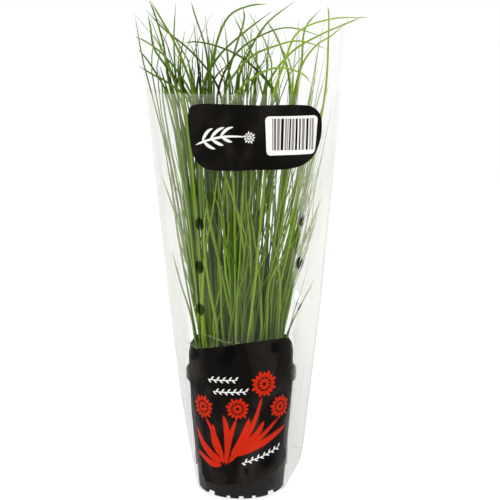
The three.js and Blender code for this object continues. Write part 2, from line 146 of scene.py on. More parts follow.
class Draw:
    """A seeded source of random numbers, the same as the frame's own."""

    def __init__(self, seed):
        self.state = (seed * 48271 + 11) % 2147483647

    def __call__(self, low, high):
        self.state = self.state * 16807 % 2147483647
        return low + (high - low) * self.state / 2147483647


def soft_noise(u, v, seed):
    """Smooth noise from -1 to 1 over a plane, one bump to a unit."""
    table = np.random.default_rng(seed).uniform(-1, 1, (64, 64))
    u, v = np.broadcast_arrays(np.asarray(u, float), np.asarray(v, float))
    left, low = np.floor(u).astype(int), np.floor(v).astype(int)
    across, up = smoothstep(u - left, 0, 1), smoothstep(v - low, 0, 1)
    near = lerp(table[left % 64, low % 64], table[(left + 1) % 64, low % 64], across)
    far = lerp(table[left % 64, (low + 1) % 64], table[(left + 1) % 64, (low + 1) % 64], across)
    return lerp(near, far, up)


def sharp_noise(u, v, seed):
    """Noise from 0 to 1 whose crests are narrow, as creases are."""
    return (1 - np.abs(soft_noise(u, v, seed))) ** 4


# ---- The film's surface ----


def film_round(z, rate):
    """Half the film's width or depth where it is an oval over the pot's own round."""
    return lerp(FILM_BASE_RADIUS, FILM_RIM_RADIUS, np.clip(z / WALL_TOP, 0, 1)) + rate * np.maximum(0, z - WALL_TOP)


def film_reach(angle, z, inset=0.0):
    """The film's distance from the pot's axis, at an angle and height, as in the frame."""
    across, deep = np.abs(np.cos(angle)), np.abs(np.sin(angle))
    left = np.cos(angle) < 0
    seam = np.where(left, np.interp(z, *LEFT_SEAM), np.interp(z, *RIGHT_SEAM)) - inset * SEAM_WELD / FILM
    wide, thick = film_round(z, OVAL_WIDE) - inset, film_round(z, OVAL_DEEP) - inset
    around = 1 / np.hypot(across / wide, deep / thick)
    ear = np.where(left, LEFT_EAR, RIGHT_EAR)
    flare = np.maximum(0, 1 - np.arctan2(deep, across) / ear) ** EAR_CURVE
    depth = np.where(np.sin(angle) < 0, MOUTH_FRONT, MOUTH_BACK) - inset
    mouth = ((across / seam) ** MOUTH_SQUARENESS + (deep / depth) ** MOUTH_SQUARENESS) ** (-1 / MOUTH_SQUARENESS)
    return lerp(lerp(around, seam, flare), mouth, smoothstep(z, *SLEEVE_OPENS))


CREASES_ROUND = 64  # creases in a full turn of the film
FREE_OF_POT = (112, 190)  # the heights between which the film comes free of the pot


def film_creases(angle, z):
    """How far the film stands out from its even form: long pleats above the pot, crinkles where it lies on it."""
    turn = angle / (2 * math.pi) * CREASES_ROUND
    free = smoothstep(z, *FREE_OF_POT)
    pleats = 0.9 * soft_noise(turn * 0.34 + z * 0.012, z * 0.006, 11)
    pleats += 0.5 * soft_noise(turn * 0.8 - z * 0.01, z * 0.012, 12)
    crinkles = 0.55 * soft_noise(turn * 0.45 + z * 0.03, z * 0.055 - turn * 0.1, 13)
    crinkles += 0.5 * sharp_noise(turn * 0.3 - z * 0.02, z * 0.03 + turn * 0.2, 14) - 0.25
    edge = np.minimum(1, np.abs(np.sin(angle)) * 4)
    lipped = 1 - 0.75 * np.exp(-(((z - RIM_TOP + 4) / 9) ** 2))
    return (free * pleats + (1 - free) * crinkles * lipped) * edge


def film_point(angle, z):
    """Points of the film's outer face."""
    reach = film_reach(angle, z, 0.35) + film_creases(angle, z)
    return np.stack([reach * np.cos(angle), reach * np.sin(angle), z + 0 * angle], -1)


def film_lifted(angle, z, lift):
    """Points above the film's outer face, along its own normal."""
    step = 1e-3
    around = film_point(angle + step, z) - film_point(angle - step, z)
    up = film_point(angle, z + 0.5) - film_point(angle, z - 0.5)
    normal = np.cross(around, up)
    normal /= np.linalg.norm(normal, axis=-1, keepdims=True)
    return film_point(angle, z) + lift * normal


# Where the film lies wet on the leaves, and so is clear: x, z, half the width and half the height.
WET_PATCHES = [(-7, 230, 8, 27), (-25, 272, 6, 9), (-32, 160, 9, 18), (47, 240, 5, 20), (-41, 280, 5, 14)]


# How milky the film is where it lies on the pot and on the leaves, and just under the front panel's edge; at the back
# above and below that edge, and along its own edge; and in the ears, low and high up, for each panel.
HAZE_ON_POT, HAZE_ON_LEAVES, HAZE_UNDER_EDGE = 0.008, 0.024, 0.06
HAZE_BACK_ABOVE, HAZE_BACK_BELOW, HAZE_BACK_EDGE = 0.012, 0.025, 0.16
HAZE_EARS_FRONT, HAZE_EARS_BACK, HAZE_EARS_ABOVE = (0.34, 0.21), (0.27, 0.2), 0.03
HAZE_RIGHT_EAR = (1.35, 0.4)  # the right ear's share of that, below and near its top


def film_haze(angle, z):
    """How milky the film is: least where it lies on the pot or on wet leaves, most in its ears and at its mouth."""
    front, x = np.sin(angle) < 0, film_point(angle, z)[..., 0]
    clinging = lerp(HAZE_ON_POT, HAZE_ON_LEAVES, smoothstep(z, 100, 150))
    near_edge = HAZE_UNDER_EDGE * smoothstep(z, 335, SLEEVE_FRONT)
    panel = np.where(front, clinging + near_edge, np.where(z > SLEEVE_FRONT, HAZE_BACK_ABOVE, HAZE_BACK_BELOW))
    rise = smoothstep(z, 60, 230)
    ears = np.where(front, lerp(*HAZE_EARS_FRONT, rise), lerp(*HAZE_EARS_BACK, rise))
    ears = ears * np.where(np.cos(angle) > 0, lerp(*HAZE_RIGHT_EAR, smoothstep(z, 280, 325)), 1)
    ears = np.where(z > SLEEVE_FRONT, HAZE_EARS_ABOVE, ears)
    beside_pot = smoothstep(z, 150, 112)
    inner, outer = lerp(0.82, 0.9, beside_pot), lerp(0.97, 0.985, beside_pot)
    haze = lerp(panel, ears, smoothstep(np.abs(np.cos(angle)), inner, outer))
    haze = np.maximum(haze, HAZE_BACK_EDGE * smoothstep(z, SLEEVE_BACK - 1.6, SLEEVE_BACK - 0.4))
    ragged = 0.35 * soft_noise(x * 0.2, z * 0.08, 31)
    for middle, height, wide, high in WET_PATCHES:
        spread = np.hypot((x - middle) / wide, (z - height) / high) + ragged
        haze = np.where(front, haze * smoothstep(spread, 0.7, 1.15), haze)
    return haze


class Panel:
    """The front or back of the sleeve laid flat: s runs across it from its middle, z is the height."""

    ANGLES = np.linspace(-math.pi / 2 + 0.02, math.pi / 2 - 0.02, 361)
    ROW = 3.0
    HEIGHTS = np.arange(0, 421, ROW)

    def __init__(self, front):
        self.middle = -math.pi / 2 if front else math.pi / 2
        self.across = np.array([self.lengths(z) for z in self.HEIGHTS])

    def lengths(self, z):
        angle = self.middle + self.ANGLES
        reach = film_reach(angle, np.full_like(angle, z))
        steps = np.hypot(np.diff(reach * np.cos(angle)), np.diff(reach * np.sin(angle)))
        run = np.concatenate([[0], np.cumsum(steps)])
        return run - run[len(run) // 2]

    def angles(self, s, z):
        row = np.clip(z / self.ROW, 0, len(self.HEIGHTS) - 1.001)
        low = row.astype(int)
        at = [[np.interp(a, self.across[i + step], self.ANGLES) for a, i in zip(s, low)] for step in (0, 1)]
        return self.middle + lerp(*np.array(at), row - low)


# ---- Meshes ----


def places(mesh):
    """The mesh's vertices as an array."""
    flat = np.empty(len(mesh.vertices) * 3)
    mesh.vertices.foreach_get("co", flat)
    return flat.reshape(-1, 3)


def set_places(mesh, points):
    mesh.vertices.foreach_set("co", np.asarray(points, float).ravel())
    mesh.update()


def set_numbers(mesh, name, numbers):
    """Gives every vertex a number that a material reads by its name."""
    mesh.attributes.new(name, "FLOAT", "POINT").data.foreach_set("value", numbers)


def new_mesh(name, bm):
    mesh = bpy.data.meshes.new(name)
    bm.to_mesh(mesh)
    bm.free()
    return mesh


def new_object(name, data):
    made = bpy.data.objects.new(name, data)
    bpy.context.scene.collection.objects.link(made)
    return made


def new_piece(name, mesh, material, slot, replaced=(), smooth=True):
    """The finished object of a mesh in millimetres."""
    old = bpy.data.objects.get(name)
    if old:
        bpy.data.objects.remove(old)
    set_places(mesh, places(mesh) * METRE)
    mesh.polygons.foreach_set("use_smooth", [smooth] * len(mesh.polygons))
    mesh.materials.clear()
    mesh.materials.append(material)
    piece = new_object(name, mesh)
    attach(piece, "root")
    if replaced:
        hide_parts(*replaced)
    return piece


def add_wall(piece, thickness):
    wall = piece.modifiers.new("wall", "SOLIDIFY")
    wall.thickness = thickness * METRE
    wall.offset = -1.0
    wall.use_rim = True


def spun(profile, sides):
    """A closed form turned about +Z from a profile of (radius, height) points that starts and ends on the axis."""
    bm = bmesh.new()
    verts = [bm.verts.new((r, 0, z)) for r, z in profile]
    edges = [bm.edges.new(pair) for pair in zip(verts, verts[1:])]
    whole = {"angle": 2 * math.pi, "steps": sides, "axis": (0, 0, 1), "cent": (0, 0, 0), "use_merge": True}
    bmesh.ops.spin(bm, geom=verts + edges, **whole)
    bmesh.ops.remove_doubles(bm, verts=bm.verts, dist=1e-4)
    bmesh.ops.recalc_face_normals(bm, faces=bm.faces)
    return bm


def cut_away(piece, cutter):
    """Takes the cutter's solid out of the piece, for good."""
    cut = piece.modifiers.new("cut", "BOOLEAN")
    cut.operation, cut.solver, cut.object = "DIFFERENCE", "EXACT", cutter
    bpy.context.view_layer.update()
    mesh = bpy.data.meshes.new_from_object(piece.evaluated_get(bpy.context.evaluated_depsgraph_get()))
    piece.modifiers.remove(cut)
    piece.data = mesh
    bpy.data.objects.remove(cutter)


# ---- Shader expressions ----


class Value:
    """A number of a material that takes part in Python expressions."""

    def __init__(self, finish, socket):
        self.finish, self.socket = finish, socket

    def math(self, operation, *others, clamp=False):
        return self.finish.math(operation, self, *others, clamp=clamp)

    def __add__(self, other):
        return self.math("ADD", other)

    def __sub__(self, other):
        return self.math("SUBTRACT", other)

    def __rsub__(self, other):
        return self.finish.math("SUBTRACT", other, self)

    def __mul__(self, other):
        return self.math("MULTIPLY", other)

    __radd__, __rmul__ = __add__, __mul__

    def clamped(self):
        return self.math("ADD", 0.0, clamp=True)

    def between(self, low, high):
        """0 at low, 1 at high, eased between them."""
        inputs = {"Value": self, "From Min": low, "From Max": high}
        node = self.finish.node("MapRange", {"interpolation_type": "SMOOTHSTEP"}, inputs)
        return Value(self.finish, node.outputs["Result"])


class Finish:
    """A material that is put together from nodes."""

    def __init__(self, name):
        old = bpy.data.materials.get(name)
        if old:
            bpy.data.materials.remove(old)
        self.material = bpy.data.materials.new(name)
        self.material.use_nodes = True
        self.tree = self.material.node_tree
        self.tree.nodes.clear()
        self.output = self.node("OutputMaterial")

    def feed(self, socket, value):
        """Links a socket to a value of the material, or sets it to a plain number or colour."""
        value = value.socket if isinstance(value, Value) else value
        if isinstance(value, bpy.types.NodeSocket):
            self.tree.links.new(value, socket)
        else:
            socket.default_value = value

    def node(self, kind, settings=None, inputs=None):
        made = self.tree.nodes.new(f"ShaderNode{kind}")
        for name, setting in (settings or {}).items():
            setattr(made, name, setting)
        for name, value in (inputs or {}).items():
            self.feed(made.inputs[name], value)
        return made

    def math(self, operation, *values, clamp=False):
        settings = {"operation": operation, "use_clamp": clamp}
        return Value(self, self.node("Math", settings, dict(enumerate(values))).outputs[0])

    def place(self, scale=(1, 1, 1), turn=(0, 0, 0)):
        """Object coordinates in millimetres, drawn out or turned."""
        where = self.node("TexCoord").outputs["Object"]
        spread = [factor / METRE for factor in scale]
        return self.node("Mapping", {}, {"Vector": where, "Scale": spread, "Rotation": turn}).outputs[0]

    def axes(self):
        parts = self.node("SeparateXYZ", {}, {0: self.place()})
        return [Value(self, parts.outputs[i]) for i in range(3)]

    def away(self, x, z, narrow=1.0):
        """How far a point is from the line through (x, z) that runs straight back, in millimetres of height."""
        inputs = {0: self.place((narrow, 0, 1)), 1: (x * narrow, 0, z)}
        return Value(self, self.node("VectorMath", {"operation": "DISTANCE"}, inputs).outputs["Value"])

    def noise(self, scale, detail=3.0, rough=0.55, distort=0.0, turn=(0, 0, 0)):
        """Noise from 0 to 1, with scale as its bumps to a millimetre along x, y and z."""
        inputs = {"Vector": self.place(scale, turn), "Scale": 1.0, "Detail": detail, "Roughness": rough}
        return Value(self, self.node("TexNoise", {}, {**inputs, "Distortion": distort}).outputs["Fac"])

    def attribute(self, name):
        return Value(self, self.node("Attribute", {"attribute_name": name}).outputs["Fac"])

    def ramp(self, share, stops):
        """A colour from a share of 0 to 1, by stops of (place, colour)."""
        node = self.node("ValToRGB", {}, {0: share})
        elements = node.color_ramp.elements
        while len(elements) < len(stops):
            elements.new(1)
        for element, (place, colour) in zip(elements, stops):
            element.position, element.color = place, (*colour, 1)
        return node.outputs[0]

    def mixed(self, share, a, b):
        """A colour between a and b."""
        node = self.node("Mix", {"data_type": "RGBA"})
        a, b = (tone if isinstance(tone, bpy.types.NodeSocket) else (*tone[:3], 1) for tone in (a, b))
        sockets = {"Factor_Float": share, "A_Color": a, "B_Color": b}
        for socket in node.inputs:
            if socket.identifier in sockets:
                self.feed(socket, sockets[socket.identifier])
        return next(s for s in node.outputs if s.identifier == "Result_Color")

    def bump(self, height, depth, strength=1.0):
        """A normal from a height of 0 to 1, with depth in millimetres."""
        inputs = {"Height": height, "Distance": depth * METRE, "Strength": strength}
        return self.node("Bump", {}, inputs).outputs["Normal"]

    def shader(self, kind, **inputs):
        """A shader's output. An underscore in an input's name stands for a space."""
        return self.node(kind, {}, {name.replace("_", " "): value for name, value in inputs.items()}).outputs[0]

    def blend(self, share, a, b):
        return self.node("MixShader", {}, {0: share, 1: a, 2: b}).outputs[0]

    def finished(self, shader):
        self.tree.links.new(shader, self.output.inputs["Surface"])
        return self.material


# ---- Settings that a user would change ----


def colour(name, text, value):
    kind = {"size": 3, "min": 0, "max": 1, "subtype": "COLOR"}
    return bpy.props.FloatVectorProperty(name=name, description=text, default=value, **kind)


def number(name, text, value, **kind):
    return bpy.props.FloatProperty(name=name, description=text, default=value, min=0, **kind)


def length(name, text, value):
    return number(name, text, value * METRE, max=1, precision=4, unit="LENGTH")


class SleeveSettings(bpy.types.PropertyGroup):
    """The clear film sleeve and the print on it."""

    vent_radius: length("Vent radius", "Radius of the vent holes", 5.5)
    haze: number("Haze", "How milky the film is, as a share of what is usual", 1, max=2)
    milk: colour("Milkiness", "Colour of the film's haze", (0.85, 0.84, 0.75))
    # Painted shade: the haze low down beside the pot is darker, standing in for the pot's shade on the film.
    pot_shade_milk: colour("Dull milkiness", "Colour of the haze low down, beside the pot", (0.79, 0.77, 0.73))
    ink_black: colour("Black ink", "Colour of the printed panels", (0.0038, 0.003, 0.0022))
    ink_grey: colour("Faded ink", "Colour of the paler bars", (0.26, 0.235, 0.23))
    ink_white: colour("White ink", "Colour of the pale marks", (0.86, 0.85, 0.83))
    ink_red: colour("Red ink", "Colour of the flower print", (0.54, 0.019, 0.003))


class PotSettings(bpy.types.PropertyGroup):
    """The nursery pot and its soil."""

    plastic: colour("Plastic", "Colour of the pot", (0.004, 0.0028, 0.002))
    crumb: length("Crumb height", "Height of the soil's crumbs", 1.6)
    soil_dark: colour("Moist soil", "Darkest colour of the soil", (0.012, 0.0075, 0.005))
    soil_light: colour("Dry crumbs", "Palest colour of the soil", (0.075, 0.045, 0.026))


class ChiveSettings(bpy.types.PropertyGroup):
    """The chive leaves."""

    extra: bpy.props.IntProperty(
        name="Fine leaves", description="Low leaves added to each tuft of the frame", default=36, min=0, max=200
    )
    deep: colour("Shaded leaf", "Colour of the leaves in shade", (0.004, 0.01, 0.001))
    dark: colour("Dark leaf", "Colour of the oldest leaves", (0.04, 0.09, 0.006))
    middle: colour("Middle leaf", "Colour of most leaves", (0.13, 0.237, 0.014))
    lime: colour("Young leaf", "Colour of the youngest leaves", (0.27, 0.41, 0.032))
    sheath: colour("Sheath", "Colour of the pale leaf bases", (0.52, 0.55, 0.3))


class StageSettings(bpy.types.PropertyGroup):
    """The floor, the lights and the camera."""

    floor: number("Floor glow", "How much of the floor's white is its own", 0.9, max=1, subtype="FACTOR")
    surroundings: number("Surroundings", "Brightness of the studio round the object", 0.52, max=5)
    key: number("Key light", "Power of the key light", 12)
    fill: number("Fill light", "Power of the fill light", 6)
    top: number("Top light", "Power of the top light", 10)
    back: number("Back light", "Power of the back light", 16)


# ---- Finishes ----


# Painted fold lines: extra haze along folds of the film stands in for the light and shade that the folds catch. The
# numbers are the height on the axis and the slope of the two beside the pot, and the height of the one over the pot's
# left shoulder, with how far it falls from there to the left.
LEFT_FOLD, RIGHT_FOLD = (23.5, 0.05), (36.0, -0.04)
SHOULDER_FOLD, SHOULDER_FALL = 154.0, 5.3
FOLD_PAINTED_SHADING, SHOULDER_PAINTED_SHADING = 0.3, 0.2


def film_finish(settings):
    """Clear film: a thin milky skin, as strong as the mesh's own haze, under a faint gloss. Its milk darkens low down
    as painted shade of the pot, upright bands in its haze are painted highlights, and haze along its folds is their
    painted shading.
    """
    f = Finish("clear_film")
    x, y, z = f.axes()
    # Painted highlights: soft upright bands in the haze stand in for the film's soft highlights.
    painted_highlight_bands = f.noise((0.075, 0.075, 0.004), 3.0, 0.5, 0.3)
    mottle = f.noise((0.035, 0.035, 0.014), 3.0, 0.55, 0.6)
    creases = f.noise((0.1, 0.1, 0.03), 4.0, 0.55, 0.8)
    left, right = (
        (z - height - x * slope).math("ABSOLUTE").between(0.9, 0.2) for height, slope in (LEFT_FOLD, RIGHT_FOLD)
    )
    # Painted shading: haze along the folds stands in for the light and shade that they catch.
    folds = (left * x.between(-41.0, -43.0) + right * x.between(46.0, 48.0)) * FOLD_PAINTED_SHADING
    shoulder = (z - SHOULDER_FOLD + x.between(-36.0, -8.0) * SHOULDER_FALL).math("ABSOLUTE").between(0.75, 0.1)
    shoulder = shoulder * x.between(2.0, 0.0) * x.between(-53.0, -51.0) * y.between(0.0, -1.0)
    broken = f.noise((0.25, 0.25, 0.1), 2.0).between(0.42, 0.55)
    folds = folds + shoulder * broken * SHOULDER_PAINTED_SHADING
    haze = (f.attribute("haze") * (0.2 + painted_highlight_bands * 0.9 + mottle * 0.7) + folds) * settings.haze
    # Painted shade: the milk darkens low down, beside the pot.
    ground = f.mixed(z.between(170.0, 40.0), settings.milk, settings.pot_shade_milk)
    normal = f.bump(creases, 0.4, 0.35)
    edge = Value(f, f.shader("Fresnel", IOR=1.3, Normal=normal))
    milk = f.shader("BsdfPrincipled", Base_Color=ground, Roughness=0.5, Specular_IOR_Level=0.1, Normal=normal)
    gloss = f.shader("BsdfGlossy", Color=(1, 1, 1, 1), Roughness=0.12, Normal=normal)
    skin = f.blend(haze.clamped(), f.shader("BsdfTransparent"), milk)
    return f.finished(f.blend(edge.math("MINIMUM", 0.4) * 0.32, skin, gloss))


WET_INK = (0.0004, 0.0003, 0.0002)
INK_PAINTED_SHEEN = (0.021, 0.0175, 0.0145)  # how much lighter black ink is painted in soft patches, as painted sheen
# Where the lower panel lies wet on the pot, and so is darker: x, z and radius.
WET_SPOTS = [(-13, 134, 7), (-9, 141, 4.5), (30, 141, 6), (-42, 133, 5.5), (24, 36, 6), (5, 28, 4.5)]


def ink_finish(name, tone, rough, gloss, wet=()):
    """Printed ink under the film's gloss, with soft paler patches of painted sheen, fewer on the upper panel, and the
    film's soft crinkles.
    """
    f = Finish(name)
    crinkle = f.noise((0.06, 0.06, 0.035), 3.0, 0.5, 1.2)
    fine = f.noise((0.5, 0.5, 0.5), 2.0)
    patch = f.noise((0.03, 0.03, 0.022), 3.0, 0.5, 0.8)
    lift = (1 - max(tone)) ** 2
    pale = [min(1, c * 1.08 + part * lift) for c, part in zip(tone, INK_PAINTED_SHEEN)]
    # Painted highlights: the ink is paler in soft patches, less so on the upper panel.
    ground = f.mixed(patch.between(0.42, 0.72) * (1 - f.axes()[2].between(250.0, 290.0) * 0.55), tone, pale)
    for x, z, radius in wet:
        spot = f.away(x, z) + (crinkle - 0.5) * 14.0
        ground = f.mixed(spot.between(radius * 1.35, radius * 0.5), ground, WET_INK)
    ink = f.shader(
        "BsdfPrincipled",
        Base_Color=ground,
        Roughness=rough + (patch - 0.5) * 0.14 + (fine - 0.5) * 0.05,
        Specular_IOR_Level=gloss,
        Normal=f.bump(crinkle * 0.9 + fine * 0.03, 1.0, 0.55),
    )
    return f.finished(ink)


DUST, FIBRE, GRIT, DRY_LEAF = (0.024, 0.02, 0.016), (0.17, 0.1, 0.05), (0.5, 0.47, 0.42), (0.36, 0.29, 0.12)


def plastic_finish(settings):
    """Black pot plastic: finely grained and scuffed, with turned lines and dust at its foot."""
    f = Finish("pot_plastic")
    z = f.axes()[2]
    grain = f.noise((1.6, 1.6, 1.6))
    scuffs = f.noise((0.12, 0.12, 0.5), 5.0, 0.65, 0.6)
    dust = f.noise((0.05, 0.05, 0.05), 4.0).between(0.5, 0.75) * (1 - z.between(20.0, 60.0) * 0.6)
    lines = (z * 2.2).math("SINE") * 0.5 + 0.5
    plastic = f.shader(
        "BsdfPrincipled",
        Base_Color=f.mixed(dust * 0.35, settings.plastic, DUST),
        Roughness=0.42 + scuffs.between(0.45, 0.8) * 0.25 + (grain - 0.5) * 0.1,
        Specular_IOR_Level=0.08,
        Normal=f.bump(grain * 0.6 + lines * 0.12 + scuffs * 0.28, 0.12, 0.6),
    )
    return f.finished(plastic)


def soil_finish(settings):
    """Moist potting soil, with pale fibres and grit."""
    f = Finish("potting_soil")
    coarse = f.noise((0.22, 0.22, 0.22), 5.0, 0.65)
    fine = f.noise((1.3, 1.3, 1.3), 6.0, 0.7)
    fibres = f.noise((0.25, 2.4, 0.8), 4.0, 0.6, 1.5, (0.2, 0.1, 0.7)).between(0.62, 0.68)
    grit = f.node("TexVoronoi", {}, {"Vector": f.place((0.32, 0.32, 0.32)), "Scale": 1.0})
    spots = Value(f, grit.outputs["Distance"]).between(0.22, 0.1) * fine.between(0.5, 0.62)
    earth = f.mixed((coarse * 0.5 + fine * 0.5).between(0.38, 0.66), settings.soil_dark, settings.soil_light)
    earth = f.mixed(fibres * 0.7, earth, FIBRE)
    soil = f.shader(
        "BsdfPrincipled",
        Base_Color=f.mixed(spots * 0.8, earth, GRIT),
        Roughness=0.95 - coarse.between(0.55, 0.8) * 0.25,
        Normal=f.bump(fine * 0.7 + coarse * 0.3, 0.9, 1.0),
    )
    return f.finished(soil)


LEAF_LINES = 9  # round a leaf
# Painted light and shade on the leaves, by place: by how much they are lighter or darker, and from where to where that
# sets in along x and along z.
PAINTED_LEAF_LIGHTS = (
    (0.16, (-22.0, -48.0), [(374.0, 352.0)]),  # painted light, behind the film's left side
    (0.26, (12.0, 42.0), [(150.0, 215.0)]),  # painted light, where they stand apart at the right
    (-0.16, (35.0, 5.0), [(361.0, 362.0), (400.0, 368.0)]),  # painted shade, where they crowd above the front panel
)
# Painted shade: a dark round patch of the shaded-leaf colour on the leaves behind each front vent. Its numbers are how
# far below the vent it lies, how narrow it is, its radius with and without its soft rim, and the depths behind the vent
# between which it ends.
VENT_SHADE_DROP, VENT_SHADE_NARROW, VENT_SHADE_RIM, VENT_SHADE_DEPTH = 1.8, 1.45, (6.0, 5.2), (26, 20)


def leaf_finish(settings):
    """Chive leaf: each has its own tone, is pale at its sheath, lined along its length and dry at some tips. Painted
    light and shade make it lighter or darker by place, and painted shade darkens it behind the front vents.
    """
    f = Finish("chive_leaf")
    tone, along, turn, dry = (f.attribute(name) for name in ("tone", "along", "turn", "dry"))
    blotch = f.noise((0.09, 0.09, 0.03))
    specks = f.noise((0.9, 0.9, 0.3))
    lined = (turn * 2 * math.pi * LEAF_LINES).math("SINE") * 0.5 + 0.5
    x, y, z = f.axes()
    shade = tone + (blotch - 0.5) * 0.25 + (along - 0.5) * 0.16
    # Painted light and shade on the leaves, by place.
    for change, across, rises in PAINTED_LEAF_LIGHTS:
        where = x.between(*across)
        for rise in rises:
            where = where * z.between(*rise)
        shade = shade + where * change
    stops = [(0.0, settings.deep), (0.1, settings.dark), (0.5, settings.middle), (1.0, settings.lime)]
    green = f.ramp(shade.clamped(), stops)
    green = f.mixed(lined * 0.1 + specks.between(0.55, 0.8) * 0.08, green, settings.lime)
    green = f.mixed(along.between(0.13, 0.01) * 0.85, green, settings.sheath)
    # Painted shade on the leaves behind each front vent.
    for middle in front_vents():
        vent_shade = f.away(middle.x, middle.z - VENT_SHADE_DROP, VENT_SHADE_NARROW).between(*VENT_SHADE_RIM)
        vent_shade = vent_shade * y.between(*(middle.y + depth for depth in VENT_SHADE_DEPTH))
        green = f.mixed(vent_shade * (1.0 - tone * 0.2), green, settings.deep)
    tip = (along + (specks - 0.5) * 0.02).between(0.955, 0.985) * dry
    leaf = f.shader(
        "BsdfPrincipled",
        Base_Color=f.mixed(tip * 0.8, green, DRY_LEAF),
        Roughness=0.42 + (specks - 0.5) * 0.2 + lined * 0.06,
        Specular_IOR_Level=0.08,
        Normal=f.bump(lined * 0.7 + specks * 0.3, 0.08, 0.6),
    )
    return f.finished(leaf)


# ---- The sleeve ----

FILM_COLUMNS = 216
FILM_ROW = 2.9  # height of a row of the film's mesh
FLOOR_RINGS = (0.94, 0.5, 0.02)  # each ring of the film's floor, as a share of the one round it


def film_mesh(vent_radius):
    """The film as one sheet, with a row of vertices along the front panel's edge, its vents and its floor."""
    low = np.linspace(0.25, SLEEVE_FRONT, round(SLEEVE_FRONT / FILM_ROW) + 1)
    high = np.linspace(SLEEVE_FRONT, SLEEVE_BACK - 0.2, round((SLEEVE_BACK - SLEEVE_FRONT) / FILM_ROW) + 1)
    heights = np.concatenate([low, high[1:]])
    bm = bmesh.new()
    bmesh.ops.create_grid(bm, x_segments=FILM_COLUMNS, y_segments=len(heights) - 1, size=0.5)
    angle_of = {}
    for vert in bm.verts:
        even = (vert.co.x + 0.5) * 2 * math.pi - math.pi
        row = round((vert.co.y + 0.5) * (len(heights) - 1))
        angle_of[vert] = (even - SEAM_CROWDING * math.sin(2 * even), heights[row])
    verts = list(bm.verts)
    angle, z = np.array([angle_of[v] for v in verts]).T
    for vert, point in zip(verts, film_point(angle, z)):
        vert.co = point
    middles = [(face, face.calc_center_median()) for face in bm.faces]
    above = [face for face, middle in middles if middle.z > SLEEVE_FRONT and middle.y < 0]
    bmesh.ops.delete(bm, geom=above, context="FACES")
    bmesh.ops.remove_doubles(bm, verts=bm.verts, dist=1e-3)
    cut_vents(bm, vent_radius)
    lowest = min(v.co.z for v in bm.verts)
    hem = [e for e in bm.edges if e.is_boundary and max(v.co.z for v in e.verts) < lowest + 0.1]
    for size in FLOOR_RINGS:
        made = bmesh.ops.extrude_edge_only(bm, edges=hem)["geom"]
        ring = [v for v in made if isinstance(v, bmesh.types.BMVert)]
        hem = [e for e in made if isinstance(e, bmesh.types.BMEdge) and e.is_boundary]
        bmesh.ops.scale(bm, verts=ring, vec=(size, size, 1))
    bmesh.ops.pointmerge(bm, verts=ring, merge_co=(0, 0, lowest))
    bmesh.ops.recalc_face_normals(bm, faces=bm.faces)
    mesh = new_mesh("film_sleeve", bm)
    x, y, z = places(mesh).T
    set_numbers(mesh, "haze", film_haze(np.arctan2(y, x), z))
    return mesh


def vent_places():
    """The middle of each vent hole, on both panels."""
    turns = [side * (math.pi / 2 + VENT_LEFT) for side in (-1, 1)]
    turns += [side * (math.pi / 2 - VENT_RIGHT) for side in (-1, 1)]
    return [Vector(film_point(np.array(turn), np.array(z))) for turn in turns for z in VENT_HEIGHTS]


def front_vents():
    """The middles of the front panel's vents: three on its left, then three on its right."""
    return [middle for middle in vent_places() if middle.y < 0]


def cut_vents(bm, radius):
    """Opens the vent holes and draws the film round each of them onto a circle."""
    for middle in vent_places():
        inside = [f for f in bm.faces if (f.calc_center_median() - middle).length < radius]
        ring = {v for f in inside for v in f.verts}
        bmesh.ops.delete(bm, geom=inside, context="FACES")
        for vert in ring:
            if vert.is_valid:
                vert.co = middle + (vert.co - middle).normalized() * radius


# ---- The print ----

PRINT_CELL = 2.0  # the print is cut into cells this large, so that it follows the film
PRINT_LIFTS = (0.16, 0.34, 0.5)  # how far each layer of ink lies above the film
PRINT_WALL = 0.06
STROKE_STEPS = 14


def cut_into_cells(bm):
    for axis in (0, 1):
        low = min(v.co[axis] for v in bm.verts)
        high = max(v.co[axis] for v in bm.verts)
        normal = Vector((1 - axis, axis, 0))
        for i in range(math.floor(low / PRINT_CELL) + 1, math.ceil(high / PRINT_CELL)):
            geom = [*bm.verts, *bm.edges, *bm.faces]
            bmesh.ops.bisect_plane(bm, geom=geom, dist=1e-5, plane_co=normal * i * PRINT_CELL, plane_no=normal)


def add_outline(bm, points, rounding=0.0):
    """A flat shape through points, with its corners rounded."""
    verts = [bm.verts.new((x, y, 0)) for x, y in points]
    face = bm.faces.new(verts)
    if face.normal.z < 0:
        face.normal_flip()
    if rounding:
        corner = {"offset_type": "OFFSET", "affect": "VERTICES", "segments": 5, "profile": 0.5, "material": -1}
        bmesh.ops.bevel(bm, geom=verts, offset=rounding, **corner)


def add_stroke(bm, line, width, ends=0.6):
    """A brush stroke along two or three points, thickest in its middle."""
    line = np.asarray(line, float)
    at = np.linspace(0, 1, STROKE_STEPS)[:, None]
    if len(line) == 3:
        path = (1 - at) ** 2 * line[0] + 2 * at * (1 - at) * line[1] + at**2 * line[2]
    else:
        path = lerp(line[0], line[1], at)
    ahead = np.gradient(path, axis=0)
    side = np.stack([-ahead[:, 1], ahead[:, 0]], -1) / np.linalg.norm(ahead, axis=1, keepdims=True)
    half = width / 2 * (0.06 + np.sin(math.pi * at**0.8) ** ends)
    for vert in bmesh.ops.create_grid(bm, x_segments=STROKE_STEPS - 1, y_segments=1, size=0.5)["verts"]:
        step = round((vert.co.x + 0.5) * (STROKE_STEPS - 1))
        point = path[step] + side[step] * half[step] * (1 if vert.co.y > 0 else -1)
        vert.co = (*point, 0)


def add_bars(bm, bars):
    """Upright bars of a barcode, from each one's left side and width."""
    for x, width in bars:
        add_outline(bm, [(x, BAR_FOOT), (x + width, BAR_FOOT), (x + width, BAR_TOP), (x, BAR_TOP)])


